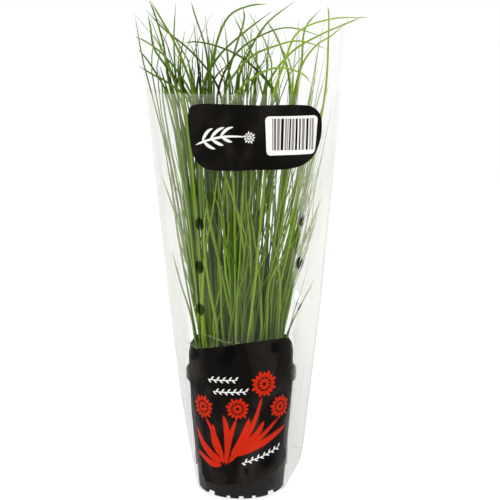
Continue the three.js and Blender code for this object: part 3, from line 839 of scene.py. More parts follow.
def lay_on_film(bm, name, panel, lift):
    cut_into_cells(bm)
    mesh = new_mesh(name, bm)
    s, z = places(mesh)[:, 0], places(mesh)[:, 1]
    set_places(mesh, film_lifted(panel.angles(s, z), z, lift))
    return mesh


# Outlines of the printed panels on the sleeve laid flat: how far across from its middle, and how high.
UPPER_PANEL = [
    (-45.2, 341), (-43.6, 349.5), (-37.5, 352.4), (-15, 352.6), (15, 351.6), (49, 351.9), (61, 350.3), (68.3, 344),
    (70.4, 331), (68.6, 317), (63.6, 307), (55, 300.6), (42, 297.4), (15, 297.3), (-20, 296.6), (-31.5, 298.4),
    (-38.5, 304), (-42.6, 313), (-44.6, 327),
]
LOWER_PANEL = [
    (-54.6, 131.5), (-51.6, 136.6), (-44.4, 138.6), (-1.4, 147.8), (27.9, 149.9), (43.5, 148.6), (50, 145),
    (52.2, 139), (54, 120.9), (54.1, 93.2), (48.9, 73.4), (46.2, 56), (48.8, 43), (52, 34.5), (45.3, 26.7),
    (27.3, 21.4), (10, 15.9), (-7.5, 15.4), (-36.8, 13.2), (-44.7, 36.8), (-49.2, 62.5), (-54, 93.2), (-56.6, 118),
]
BACK_PANEL = [(-58, 15), (58, 15), (61, 120), (57, 129), (49, 134), (-49, 134), (-57, 129), (-61, 120)]
WHITE_PATCH, PATCH_ROUNDING = [(22, 309.2), (64.6, 309.8), (66.5, 342.9), (20.8, 342.2)], 3.6
BLACK_BARS = ((29, 1.3), (34.6, 2.1), (41.2, 1.2), (46.4, 1.7), (49.6, 1.2), (56.2, 1.9))
FADED_BARS = ((27.2, 1), (31.4, 2.2), (37.8, 1.2), (39.6, 0.8), (43.4, 1.8), (52.2, 2.4), (59.4, 1.1), (61.4, 1.5))
BAR_FOOT = 313.6
BAR_TOP = BAR_FOOT + 26.8


def closed_curve(points, count=72):
    """Points along the smooth closed curve through the given points."""
    around = np.array([*points[-2:], *points, *points[:3]], float)
    spans = len(around) - 1
    shares = (2 + np.arange(count) / count * len(points)) / spans
    return [tuple(point) for point in smooth_line(around, shares)]


def bloom(bm, middle, radius, petals):
    """A round chive bloom: two rings of tapered florets round a small heart."""
    middle = np.array(middle, float)
    rings = ((0.48, 1.0, 0.25, petals), (0.12, 0.46, 0.19, petals * 2 // 3))
    for ring, (inner, outer, wide, count) in enumerate(rings):
        for i in range(count):
            out = polar(radius, 2 * math.pi * (i + 0.5 * ring) / count)
            reach = outer * (1 if i % 2 or ring else 0.88)
            add_stroke(bm, [middle + out * inner, middle + out * reach], radius * wide)


# The red flower print: stems and leaves as (points, width), and blooms as (middle, radius, florets).
FLOWER_STROKES = [
    ([(-16, 35), (-20, 58), (-34, 77)], 4.2),
    ([(-14, 34), (-12, 58), (-4, 79)], 4.4),
    ([(-12, 36), (10, 62), (19, 100)], 4.4),
    ([(-11, 41), (14, 56), (36, 76)], 4.4),
    ([(-17, 37), (-34, 42), (-48, 64)], 7.0),
    ([(-16, 41), (-27, 54), (-26, 72)], 6.2),
    ([(-13, 44), (-10, 60), (-16, 82)], 5.6),
    ([(-9, 43), (4, 60), (7, 80)], 6.4),
    ([(-8, 44), (18, 53), (46, 67)], 6.2),
    ([(-18, 34), (-31, 31), (-45, 42)], 6.0),
    ([(-2, 50), (14, 60), (21, 76)], 5.6),
]
FLOWER_BLOOMS = [((-37, 87), 12.0, 15), ((-3, 89), 11.0, 15), ((38, 87), 11.5, 15), ((21, 111), 12.5, 16)]


def flower_print(bm):
    """Blooms on bending stems among broad leaves."""
    for line, width in FLOWER_STROKES:
        add_stroke(bm, line, width, 0.45)
    for flower in FLOWER_BLOOMS:
        bloom(bm, *flower)


def sprig_print(bm):
    """A flowering sprig laid on its side."""
    add_stroke(bm, [(-39, 318), (-18, 328), (4, 325)], 1.9, 0.35)
    for i, (foot, tip) in enumerate((((-33, 321), (-24, 332)), ((-26, 323), (-14, 333)), ((-18, 325), (-6, 333.5)))):
        add_stroke(bm, [foot, (lerp(foot[0], tip[0], 0.4), tip[1] - 1), tip], 2.5, 0.6)
        low = (foot[0] + 11, foot[1] - 6 + i)
        add_stroke(bm, [(foot[0] + 1, foot[1]), (foot[0] + 7, foot[1] - 5.5 + i), low], 2.5, 0.6)
    bloom(bm, (7.5, 324.5), 5.4, 11)


def garland(bm, start, end, count):
    """A thin stem with small leaves to both sides."""
    start, end = np.array(start, float), np.array(end, float)
    along = (end - start) / np.linalg.norm(end - start)
    across = np.array([-along[1], along[0]])
    add_stroke(bm, [start, lerp(start, end, 0.5) - across * 0.5, end], 0.9, 0.2)
    for i in range(count):
        foot = lerp(start, end, (i + 0.4) / count)
        side = across if i % 2 else -across
        add_stroke(bm, [foot, foot + along * 0.9 + side * 1.7, foot + along * 2.6 + side * 2.7], 1.35)


# The garlands: their start, end and number of leaves.
GARLANDS = (((-31, 114.2), (-3, 115.4), 10), ((-26, 103.8), (6, 105.4), 12), ((0, 36.5), (39, 48), 14))


def white_print(bm):
    """The barcode's white patch, the sprig and the garlands."""
    add_outline(bm, WHITE_PATCH, PATCH_ROUNDING)
    sprig_print(bm)
    for line in GARLANDS:
        garland(bm, *line)


# ---- The pot and its soil ----

POT_STEPS = 128
FOOT_NOTCHES = ((4, 2.4, -17.5), (4, 2.4, 0), (4, 2.4, 17.5), (9.5, 3.8, 45))  # width, height and turn, in a quarter
DRAIN_HOLES, DRAIN_RADIUS, DRAIN_RING = 6, 3.5, 23
SOIL_STEPS, SOIL_RINGS = 150, 46
CRUMB_SEED, CRUMB_COUNT = 5, 260


def pot_profile():
    """The pot's outline as (radius, height), from its underside round its rim to its floor."""
    wall_height = POT_HEIGHT - POT_RIM_HEIGHT
    floor = FOOT_HEIGHT + POT_WALL

    def inside(height):
        return lerp(POT_BASE_RADIUS, POT_WALL_RADIUS, height / wall_height) - POT_WALL

    rim = POT_RIM_RADIUS
    foot = POT_BASE_RADIUS - FOOT_WALL
    profile = [(0, FOOT_HEIGHT), (foot - 0.4, FOOT_HEIGHT), (foot, FOOT_HEIGHT - 0.4), (foot, 0.3)]
    profile += [(foot + 0.3, 0), (POT_BASE_RADIUS - 0.4, 0), (POT_BASE_RADIUS, 0.4)]
    for share_up in np.linspace(0.06, 1, 12):
        profile.append((lerp(POT_BASE_RADIUS, POT_WALL_RADIUS, share_up), wall_height * share_up))
    profile += [(rim - 0.8, wall_height), (rim - 0.2, wall_height + 0.3), (rim, wall_height + 1.1)]
    profile += [(rim - 0.35, POT_HEIGHT - 4), (rim, POT_HEIGHT - 1.3), (rim - 0.35, POT_HEIGHT - 0.4)]
    profile += [(rim - 1.1, POT_HEIGHT), (POT_WALL_RADIUS + 0.4, POT_HEIGHT), (POT_WALL_RADIUS, POT_HEIGHT - 0.4)]
    profile += [(inside(wall_height), wall_height), (inside(floor + 1), floor + 1), (inside(floor) - 1, floor)]
    return [*profile, (0, floor)]


def foot_cutter():
    """All that is cut out of the pot's foot and floor, as one mesh."""
    bm = bmesh.new()
    for quarter in (-90, 0, 90, 180):
        for width, height, turn in FOOT_NOTCHES:
            made = bmesh.ops.create_cube(bm, size=1)["verts"]
            place = Matrix.Rotation(math.radians(quarter + turn), 4, "Z") @ Matrix.Translation((POT_BASE_RADIUS, 0, 0))
            bmesh.ops.transform(bm, verts=made, matrix=place @ Matrix.Diagonal((8, width, 2 * height, 1)))
    for i in range(DRAIN_HOLES):
        size = {"radius1": DRAIN_RADIUS, "radius2": DRAIN_RADIUS, "depth": 6}
        made = bmesh.ops.create_cone(bm, cap_ends=True, segments=24, **size)["verts"]
        bmesh.ops.translate(bm, verts=made, vec=(*polar(DRAIN_RING, i * 2 * math.pi / DRAIN_HOLES), FOOT_HEIGHT))
    mesh = new_mesh("foot_cutter", bm)
    set_places(mesh, (places(mesh) + [0, 0, POT_FLOOR]) * METRE)
    return new_object("foot_cutter", mesh)


def soil_mesh(crumb):
    """The soil: an even body with a crumbly top."""
    low, high = SOIL_BOX[0][2], SOIL_TOP - 0.9
    foot = POT_BASE_RADIUS + 0.081 * (low - POT_FLOOR) - POT_WALL - SEAT_GAP
    edge = SOIL_BOX[1][0] - 0.05
    rings = [(edge * (1 - i / SOIL_RINGS), high) for i in range(1, SOIL_RINGS)]
    profile = [(0, low), (foot - 0.6, low), (foot, low + 0.6), (edge, high - 0.4), (edge - 0.3, high)]
    mesh = new_mesh("potting_soil", spun([*profile, *rings, (0, high)], SOIL_STEPS))
    points = places(mesh)
    x, y, z = points.T
    top = smoothstep(z, high - 1.5, high - 0.2) * smoothstep(edge - np.hypot(x, y), 0, 3)
    relief = 0.5 * soft_noise(x * 0.11, y * 0.11, 21) + 0.3 * soft_noise(x * 0.35, y * 0.35, 22)
    relief += 0.35 * np.abs(soft_noise(x * 0.8, y * 0.8, 23))
    points[:, 2] += top * relief * crumb
    set_places(mesh, points)
    return mesh


def crumb_mesh():
    """Loose crumbs and bark on the soil, between the tufts."""
    draw = Draw(CRUMB_SEED)
    bm = bmesh.new()
    placed = 0
    while placed < CRUMB_COUNT:
        spot = np.array([draw(-43, 43), draw(-43, 43)])
        size = draw(0.7, 2.2)
        clear = np.hypot(*(TUFT_CENTRES - spot).T).min() > TUFT_RADIUS + size * 0.7 + 0.4
        if not clear or np.hypot(*spot) > 44 - size:
            continue
        made = bmesh.ops.create_icosphere(bm, subdivisions=1, radius=1)["verts"]
        for vert in made:
            vert.co *= draw(0.75, 1.2)
        shape = Matrix.Diagonal((size * draw(0.7, 1.3), size * draw(0.6, 1), size * draw(0.35, 0.7), 1))
        turn = Matrix.Rotation(draw(0, 2 * math.pi), 4, "Z") @ Matrix.Rotation(draw(-0.5, 0.5), 4, "X")
        seat = Matrix.Translation((*spot, SOIL_TOP - 0.5 + size * 0.12))
        bmesh.ops.transform(bm, verts=made, matrix=seat @ turn @ shape)
        placed += 1
    return new_mesh("soil_crumbs", bm)


# ---- The chives ----

# Leaves that leave the bunch, as in the frame: depth y at the first and last point, the points (x, z), and the tone.
LOOSE_LEAVES = [
    ((-26, -24), [(26, 353), (37, 387), (48, 412), (76, 423), (106, 424)], 0.68),
    ((-14, -20), [(20, 360), (42, 394), (66, 409), (89, 419), (103, 425)], 0.55),
    ((-8, -12), [(46, 360), (54, 387), (66, 402), (76, 408), (89, 419)], 0.68),
    ((-2, -4), [(73, 360), (75, 401), (75, 428), (74, 433)], 0.75),
    ((9, 5), [(-20, 360), (-4, 393), (19, 409), (41, 415), (75, 406)], 0.28),
    ((-24, -32), [(-14, 360), (8, 391), (27, 400), (48, 405), (74, 398)], 0.5),
    ((6, 2), [(43, 360), (39, 385), (30, 409), (22, 421)], 0.45),
    ((16, 8), [(-4, 362), (8, 396), (23, 419), (46, 437)], 0.36),
    ((19, 17), [(-34, 360), (-21, 388), (2, 410), (26, 428)], 0.36),
    ((-10, -8), [(47, 360), (52, 386), (55, 415), (68, 431)], 0.5),
    ((-27, -34), [(-6, 356), (15, 377), (33, 383), (53, 377), (59, 370)], 0.6),
    ((-10, -6), [(-42, 352), (-61, 379), (-74, 398), (-77, 416), (-79, 426)], 0.3),
    ((3, 8), [(-58, 352), (-63, 373), (-67, 401), (-75, 429), (-79, 438)], 0.3),
    ((-22, -28), [(-38, 352), (-53, 398), (-67, 424), (-75, 438)], 0.35),
    ((8, 7), [(-55, 354), (-58, 401), (-56, 436)], 0.4),
    ((14, 10), [(-19, 360), (-42, 393), (-67, 414), (-82, 430)], 0.33),
    ((-16, -14), [(-40, 354), (-64, 391), (-79, 403), (-89, 408)], 0.35),
    ((-4, -10), [(-60, 350), (-78, 385), (-87, 397)], 0.3),
    ((-23, -30), [(-41, 350), (-63, 371), (-74, 377), (-85, 384)], 0.25),
    ((-4, -8), [(-27, 360), (-30, 397), (-39, 426), (-42, 437)], 0.18),
    ((-17, -24), [(30, 356), (6, 387), (-16, 399), (-38, 404), (-47, 403)], 0.1),
    ((-12, -13), [(-28, 360), (-21, 401), (-9, 426), (9, 434), (23, 435)], 0.34),
    ((0, -4), [(-14, 360), (-5, 396), (3, 423), (2, 432)], 0.34),
    ((20, 22), [(32, 354), (18, 376), (1, 410), (-7, 426)], 0.3),
    ((-12, -5), [(-44, 161), (-53, 190), (-61, 219)], 0.35),
    ((-14, -2), [(-50, 232), (-60, 261), (-69, 286)], 0.5),
    ((-10, -2), [(40, 142), (52, 169), (65, 193)], 0.4),
    ((-8, 0), [(50, 213), (61, 241), (71, 268)], 0.5),
]

TUFT_CENTRES = np.array([(0.0, 0.0), *(polar(TUFT_RING, math.radians(30 + 60 * i)) for i in range(6))])


def bunch(z):
    """The whole bunch at a height: half its width and depth, and its middle."""
    rise = np.maximum(0, (z - SOIL_TOP) / (SLEEVE_FRONT - SOIL_TOP))
    flat = smoothstep(rise, 0.2, 1)
    wide = lerp(BUNCH_FOOT, MOUTH_WIDE, rise**1.3)
    return wide, lerp(BUNCH_FOOT, MOUTH_DEEP, flat), MOUTH_MIDDLE[0] * flat, MOUTH_MIDDLE[1] * flat


def in_bunch(foot, z):
    """A point of the bunch at a height, from where the same leaf would stand at the bunch's foot."""
    wide, deep, x, y = bunch(z)
    return np.array([x + foot[0] * wide / BUNCH_FOOT, y + foot[1] * deep / BUNCH_FOOT, z])


def smooth_line(points, shares):
    """Points along a smooth curve through the given points, at shares of its length in spans."""
    points = np.asarray(points, float)
    first, last = 2 * points[0] - points[1], 2 * points[-1] - points[-2]
    p = np.vstack([first, points, last])
    at = np.clip(np.asarray(shares) * (len(points) - 1), 0, len(points) - 1)
    span = np.minimum(at.astype(int), len(points) - 2)
    t = (at - span)[:, None]
    a, b, c, d = (p[span + i] for i in range(4))
    steps = [np.maximum(1e-4, np.linalg.norm(q - r, axis=1, keepdims=True)) ** 0.5 for q, r in ((b, a), (c, b), (d, c))]
    before, here, after = steps
    leave = ((b - a) / before - (c - a) / (before + here) + (c - b) / here) * here
    arrive = ((c - b) / here - (d - b) / (here + after) + (d - c) / after) * here
    cubic, square = 2 * b - 2 * c + leave + arrive, -3 * b + 3 * c - 2 * leave - arrive
    return ((cubic * t + square) * t + leave) * t + b


def loose_leaf(depth, top):
    """A leaf whose upper part is given, as in the frame, with the tuft that it grows from."""
    edge_x, edge_z = top[0]
    wide, deep, x, y = bunch(edge_z)
    foot = np.array([(edge_x - x) / wide, (depth[0] - y) / deep]) * BUNCH_FOOT
    tuft = int(np.argmin(np.hypot(*(TUFT_CENTRES - foot).T)))
    away = foot - TUFT_CENTRES[tuft]
    root = TUFT_CENTRES[tuft] + away * min(1, (TUFT_RADIUS - 3.5) / max(np.hypot(*away), 1e-6))
    points = [in_bunch(root, BULBS_BOTTOM + 2)]
    for rise in (0.3, 0.65):
        points.append(in_bunch(lerp(root, foot, smoothstep(rise, 0, 0.9)), lerp(SOIL_TOP, edge_z, rise)))
    for i, (px, pz) in enumerate(top):
        points.append(np.array([px, lerp(*depth, i / (len(top) - 1)), pz]))
    return tuft, points


def loose_line(points):
    return smooth_line(points, np.linspace(0, 1, LOOSE_STEPS + 1))


def tuft_line(tuft, root, fan, drift, bend, tip, stations, sway=0.0, phase=0):
    """The stations of a tuft's own leaf: it fans out, drifts away with its height and bends near its tip."""
    line = []
    for s in stations:
        foot = TUFT_CENTRES[tuft] + root * (1 + fan * smoothstep(s, 0, 0.45)) + drift * s**2
        point = in_bunch(foot, lerp(BULBS_BOTTOM + 2, tip, s))
        point[0] += bend * max(0, s - 0.6) ** 2 + sway * math.sin(s * 5 + phase)
        line.append(point)
    return np.array(line)


def common_leaf(tuft, index, attempt):
    """A common leaf of the frame. A later try is straighter and closer to its tuft."""
    draw = Draw(7919 * (tuft * LEAVES_PER_TUFT + index + 1) + 104729 * attempt)
    ease = 1 - attempt / LEAF_TRIES
    root = polar((TUFT_RADIUS - 2.4) * math.sqrt((index + 0.5) / LEAVES_PER_TUFT), index * GOLDEN_TURN + tuft)
    tip = lerp(235, 428, draw(0, 1) ** 0.55) - 14 * (1 - ease)
    fan = draw(0.1, 0.75) * ease
    drift = np.array([draw(-16, 16), draw(-9, 9)]) * ease
    bend = 4 * draw(0, 1) ** 2 * draw(-26, 26) * ease
    return tuft_line(tuft, root, fan, drift, bend, tip, LEAF_STATIONS)


def inside_sleeve(line, margin=FILM + LEAF_RADIUS + SEAT_GAP):
    """Whether a line stays in the sleeve up to its mouth, and in front of its back panel."""
    line = np.asarray(line)
    both = np.vstack([line, (line[1:] + line[:-1]) / 2])
    x, y, z = both.T
    free = (z > SLEEVE_BACK + LEAF_RADIUS) | ((y < -LEAF_RADIUS) & (z > SLEEVE_FRONT + LEAF_RADIUS))
    reach = film_reach(np.arctan2(y, x), np.maximum(z, SOIL_TOP), margin)
    return bool(np.all(free | (np.hypot(x, y) < reach)))


def too_near(line, starts, ends, limits):
    """Whether a line comes nearer to any segment than that segment allows."""
    for p, q in zip(line[:-1], line[1:]):
        low, high = min(p[2], q[2]) - OTHER_TUFT, max(p[2], q[2]) + OTHER_TUFT
        near = (np.maximum(starts[:, 2], ends[:, 2]) > low) & (np.minimum(starts[:, 2], ends[:, 2]) < high)
        if not near.any():
            continue
        r, s, limit = starts[near], ends[near], limits[near]
        d1, d2, gap = q - p, s - r, p - r
        a, e = d1 @ d1, np.einsum("ij,ij->i", d2, d2)
        f, b, c = np.einsum("ij,ij->i", d2, gap), d2 @ d1, gap @ d1
        spread = a * e - b * b
        t = np.where(spread > 1e-9, np.clip((b * f - c * e) / np.maximum(spread, 1e-9), 0, 1), 0)
        u = np.clip((b * t + f) / e, 0, 1)
        t = np.clip((b * u - c) / a, 0, 1)
        apart = np.linalg.norm(gap + d1 * t[:, None] - d2 * u[:, None], axis=1)
        if (apart < limit).any():
            return True
    return False


def frame_leaves():
    """The frame's own leaves, by the frame's rule: the tuft and the points of each."""
    leaves = [loose_leaf(depth, top) for depth, top, _ in LOOSE_LEAVES]
    lines = [loose_line(points) for _, points in leaves]
    starts, ends = np.vstack([line[:-1] for line in lines]), np.vstack([line[1:] for line in lines])
    owners = np.repeat([tuft for tuft, _ in leaves], LOOSE_STEPS)
    for tuft in range(len(TUFT_CENTRES)):
        for index in range(LEAVES_PER_TUFT):
            for attempt in range(LEAF_TRIES):
                line = common_leaf(tuft, index, attempt)
                limits = np.where(owners == tuft, SAME_TUFT, OTHER_TUFT)
                if inside_sleeve(line) and not too_near(line, starts, ends, limits):
                    leaves.append((tuft, line))
                    starts, ends = np.vstack([starts, line[:-1]]), np.vstack([ends, line[1:]])
                    owners = np.append(owners, [tuft] * (len(line) - 1))
                    break
    return leaves


def gathered(line):
    """A leaf's line drawn towards the nearest strand: near the mouth, and on the right lower down too."""
    line = smooth_line(line, np.linspace(0, 1, 10))
    wide, _, middle, _ = bunch(line[:, 2])
    place = (line[:, 0] - middle) / wide
    nearest = STRANDS[np.abs(place[:, None] - STRANDS).argmin(1)]
    parting = lerp(PARTING_LEFT, PARTING_RIGHT, smoothstep(place, -0.2, 0.35))
    pull = GATHERING * smoothstep(line[:, 2], parting - 30, parting + 45) * smoothstep(place, -0.95, -0.5)
    line[:, 0] += np.clip(pull * (nearest - place) * wide, -GATHER_LIMIT, GATHER_LIMIT)
    line[:, 0] -= RIGHT_TUCK * smoothstep(place, 0.45, 0.9) * smoothstep(line[:, 2], 245, 190)
    return line


def swayed(line, draw):
    """A common leaf's line with a slight wave in it."""
    line = np.array(line)
    steps = np.arange(len(line))
    line[1:, 0] += draw(-2.6, 2.6) * np.sin(steps * draw(1.2, 2.4) + draw(0, 6))[1:]
    return line


def fine_leaf(tuft, index, count):
    """A further leaf of a tuft: these fill the bunch low down, and every third crosses it."""
    for attempt in range(LEAF_TRIES):
        draw = Draw(15485 * (tuft * count + index + 1) + 32452 * attempt + 5)
        ease = 1 - attempt / LEAF_TRIES
        root = polar((TUFT_RADIUS - 1.6) * math.sqrt(draw(0, 1)), draw(0, 2 * math.pi))
        right = float(smoothstep(TUFT_CENTRES[tuft][0] + root[0], 4, 28))
        tip = lerp(125, 310 - 80 * right, draw(0, 1) ** 1.3) - 20 * (1 - ease)
        fan = draw(0.1, 1.1) * ease
        across = (draw(-36, 36), draw(-20, 2)) if index % 3 == 0 else (draw(-14, 14), draw(-10, 10))
        bend = 4 * draw(0, 1) ** 2 * draw(-24, 24) * ease
        line = tuft_line(tuft, root, fan, np.array(across) * ease, bend, tip, FINE_STATIONS, draw(-2.2, 2.2), index)
        if inside_sleeve(line, FILM + LEAF_RADIUS):
            return line
    return None


# The clumps in which the leaves leave the sleeve: x, depth y, how far they lean outwards, and their leaves.
CLUMPS = [
    (-73, -8, -0.15, 1), (-65, 4, -0.3, 5), (-54, -10, -0.35, 6), (-48, -14, -0.25, 7), (-41, -2, 0.0, 9),
    (-35, -16, -0.05, 3), (-27, 2, 0.05, 8), (-9, -12, 0.1, 5), (-2, -4, 0.15, 7), (6, -18, 0.15, 7),
    (12, 0, 0.3, 4), (21, -12, 0.3, 2), (33, -6, 0.25, 1), (45, -10, 0.25, 2),
]
CLUMP_FOOT, PARTING_DEPTH = 350.0, 75.0  # the clump's height, and how far below it its leaves start to part
CLUMP_REACH, CROWN_HEIGHTS = (-90, 103), (364, 428)  # between which x and between which heights its tips lie
SIDE_LEAVES = 52
# The leaves gather to strands: how strongly, how far at most, the height that they part at on the left and on the
# right, and how far the lowest ones on the right are tucked in.
GATHERING, GATHER_LIMIT, PARTING_LEFT, PARTING_RIGHT, RIGHT_TUCK = 0.62, 4.5, 315, 205, 6
# The strands, as shares of half the bunch's width from its middle.
STRANDS = (np.array([-65, -54, -48, -41, -34, -27, -10, -2, 6, 12, 22, 32, 43, 48, 60]) - MOUTH_MIDDLE[0]) / MOUTH_WIDE

# Leaves that cross the front of the bunch, given as the loose ones are.
CROSSING_LEAVES = [
    ((-30, -31), [(-8, 178), (-14, 214), (-9, 252)]),
    ((-28, -32), [(-5, 165), (-13, 205), (-15, 246)]),
    ((-27, -31), [(18, 158), (12, 205), (3, 243), (-7, 274)]),
    ((-29, -30), [(23, 165), (25, 198), (37, 222)]),
    ((-30, -15), [(9, 172), (22, 200), (37, 220), (52, 238)]),
    ((-29, -33), [(-17, 168), (-18, 210), (-27, 250), (-30, 272)]),
    ((-26, -30), [(-34, 170), (-31, 225), (-24, 262), (-19, 300)]),
    ((-24, -20), [(29, 205), (40, 242), (47, 268), (51, 300)]),
    ((-28, -31), [(-2, 160), (4, 215), (-4, 262), (-18, 305)]),
    ((-25, -29), [(-24, 165), (-12, 212), (4, 258), (15, 300)]),
    ((-23, -27), [(33, 160), (34, 205), (24, 250), (17, 290)]),
    ((-28, -31), [(-7, 158), (-16, 201), (-21, 227), (-31, 276)]),
    ((-29, -32), [(2, 158), (-5, 187), (-10, 209), (-17, 258), (-25, 280)]),
    ((-31, -33), [(10, 160), (9, 200), (8, 236), (4, 276)]),
    ((-30, -32), [(18, 156), (16, 200), (12, 236), (6, 271)]),
    ((-26, -31), [(-21, 158), (-29, 200), (-32, 245), (-28, 271)]),
    ((-28, -29), [(22, 165), (23, 196), (34, 236), (46, 280)]),
    ((-22, -24), [(31, 160), (34, 191), (42, 227), (47, 258)]),
]


# Thin leaves that stray into the right ear of the sleeve, and some within the bunch, given as the loose ones are.
STRAY_LEAVES = [
    ((-4, 0), [(36, 167), (50, 197), (60, 226), (64, 266), (68, 296)]),
    ((-5, -1), [(40, 176), (56, 216), (65, 244), (68, 256)]),
    ((0, 2), [(36, 168), (48, 201), (56, 228), (60, 261), (64, 293)]),
    ((-8, -2), [(43, 221), (52, 250), (60, 268), (66, 283)]),
    ((-2, -1), [(37, 165), (53, 200), (62, 238), (66, 246)]),
    ((-10, -8), [(22, 170), (26, 230), (31, 290), (34, 340)]),
    ((0, 2), [(20, 175), (24, 240), (32, 300), (37, 345)]),
    ((6, 8), [(27, 180), (28, 240), (28, 300), (31, 350)]),
    ((-15, -14), [(30, 200), (29, 250), (27, 300), (24, 345)]),
    ((-4, -2), [(-29, 180), (-34, 236), (-37, 270), (-39, 300), (-44, 345)]),
    ((4, 6), [(-30, 180), (-35.6, 236), (-38.5, 270), (-41, 320)]),
]


def strewn_leaf(seed, step, shape):
    """The first leaf of a seeded shape that stays inside the sleeve, with the tuft that it grows from."""
    for attempt in range(LEAF_TRIES):
        draw = Draw(seed + step * attempt)
        tuft, points = loose_leaf(*shape(draw))
        points[0][:2] += (draw(-5, 5), draw(-5, 5))
        if inside_sleeve(loose_line(points), FILM + LEAF_RADIUS):
            return tuft, points
    return tuft, None


def clump_leaf(clump, index):
    """One fine leaf of a clump."""
    x, depth, lean, _ = CLUMPS[clump]

    def shape(draw):
        tip = lerp(*CROWN_HEIGHTS, draw(0, 1) ** 1.3)
        rise = tip - CLUMP_FOOT
        start, slant, bend = x + draw(-3, 3), lean + draw(-0.28, 0.28), draw(-0.3, 0.3)
        foot = CLUMP_FOOT - draw(0, 1) * PARTING_DEPTH
        foot_x = start * bunch(foot)[0] / bunch(CLUMP_FOOT)[0] + draw(-0.12, 0.12) * (CLUMP_FOOT - foot)
        end = min(max(start + (slant + bend) * rise, CLUMP_REACH[0]), CLUMP_REACH[1])
        top = [(foot_x, foot), (start + slant * rise * 0.5, CLUMP_FOOT + rise * 0.52), (end, tip)]
        return (depth + draw(-6, 6), depth + draw(-9, 9)), top

    return strewn_leaf(9973 * (clump + 1) + 271 * index, 52361, shape)


# The leaf behind a vent, from the vent's middle in x and z: on the left and on the right.
LEFT_VENT_LEAF = [(2, -24), (1.2, -2), (0.4, 14), (-2, 60)]
RIGHT_VENT_LEAF = [(-7, -24), (-1.2, -2), (3.5, 12), (10, 40)]


def vent_leaves():
    """A thin leaf behind each front vent, which the vents' painted shade darkens, so that the vent looks dark and, on
    the right, a slip of the leaf shows there.
    """
    for i, vent in enumerate(front_vents()):
        steps = LEFT_VENT_LEAF if i < len(VENT_HEIGHTS) else RIGHT_VENT_LEAF
        top = [(vent.x + x, vent.z + z) for x, z in steps]
        tuft, points = loose_leaf((vent.y + 9, vent.y + 10), top)
        if inside_sleeve(loose_line(points), FILM):
            yield tuft, points


def side_leaf(index):
    """One of the thin leaves that stray towards the ears, most of them to the right."""
    side = -1 if index % 4 == 0 else 1

    def shape(draw):
        low, high = draw(140, 172), draw(225, 348)
        start, slant, bend = draw(32, 42), draw(0.12, 0.32), draw(-0.08, 0.16)
        rise = high - low
        top = [(side * start, low), (side * (start + slant * rise * 0.5), low + rise * 0.5)]
        top.append((side * (start + (slant + bend) * rise), high))
        return (draw(-20, 18), draw(-16, 14)), top

    return strewn_leaf(6133 * (index + 1), 40961, shape)


LEAF_CORNERS = 6
# The slimmest and broadest leaves as shares of the frame's leaf, and how much more common the slim ones are.
ARCHED_GIRTH, COMMON_GIRTH, CROSSING_GIRTH = (0.72, 0.95, 1), (0.42, 0.98, 1.6), (0.95, 1.25, 1)
# The girth of a leaf near its tip and at its foot, and of the leaves to the right, as shares of the usual girth.
TIP_GIRTH, FOOT_GIRTH, SLIMMER_RIGHT = 0.56, 0.8, 0.62
ARCHED_ROWS, STRAIGHT_ROWS = 34, 12  # rows of vertices along the arching leaves of the crown, and along the others
MIDDLE_TONE, TONE_SPREAD, TONE_LIMITS, BULB_TONE = 0.44, 0.38, (0.12, 0.95), 0.9
YOUNGER_RIGHT = 0.0036  # how much the tone rises with each millimetre to the right, at the top
CROSSING_TONE, CROSSING_SPREAD, TONE_SEED = 0.55, 0.15, 331
MOIST_SHARE = 0.9  # the leaves whose tips aren't dry


def leaf_template(rows):
    """A straight tube, one unit long and round, that leaves are bent from."""
    bm = bmesh.new()
    bmesh.ops.create_cone(bm, cap_ends=True, segments=LEAF_CORNERS, radius1=1, radius2=1, depth=1)
    sides = [e for e in bm.edges if abs(e.verts[0].co.z - e.verts[1].co.z) > 0.5]
    bmesh.ops.subdivide_edges(bm, edges=sides, cuts=rows - 2, use_grid_fill=True)
    return new_mesh("leaf_template", bm)


def bent_leaf(straight, row_count, points, radius, turn, tip_share):
    """The template's vertices laid along a leaf's line."""
    rows = np.linspace(0, 1, row_count)
    shares = 1 - (1 - rows) ** 1.2
    line = smooth_line(points, shares)
    ahead = np.gradient(line, axis=0)
    ahead /= np.linalg.norm(ahead, axis=1, keepdims=True)
    side = np.array([0, 1.0, 0]) - ahead * ahead[:, 1:2]
    side /= np.linalg.norm(side, axis=1, keepdims=True)
    normal = np.cross(ahead, side)
    taper = lerp(1, TIP_GIRTH, smoothstep(shares, 0.35, 1)) * lerp(1, tip_share, smoothstep(shares, 0.88, 1))
    taper *= lerp(FOOT_GIRTH, 1, smoothstep(shares, 0, 0.12))
    row = np.round((straight[:, 2] + 0.5) * (row_count - 1)).astype(int)
    across = straight[:, 0] * math.cos(turn) - straight[:, 1] * math.sin(turn)
    upright = straight[:, 0] * math.sin(turn) + straight[:, 1] * math.cos(turn)
    size = (radius * taper[row])[:, None]
    bent = line[row] - side[row] * across[:, None] * size + normal[row] * upright[:, None] * size
    corner = np.arctan2(straight[:, 1], straight[:, 0]) / (2 * math.pi) + 0.5
    return bent, shares[row], corner


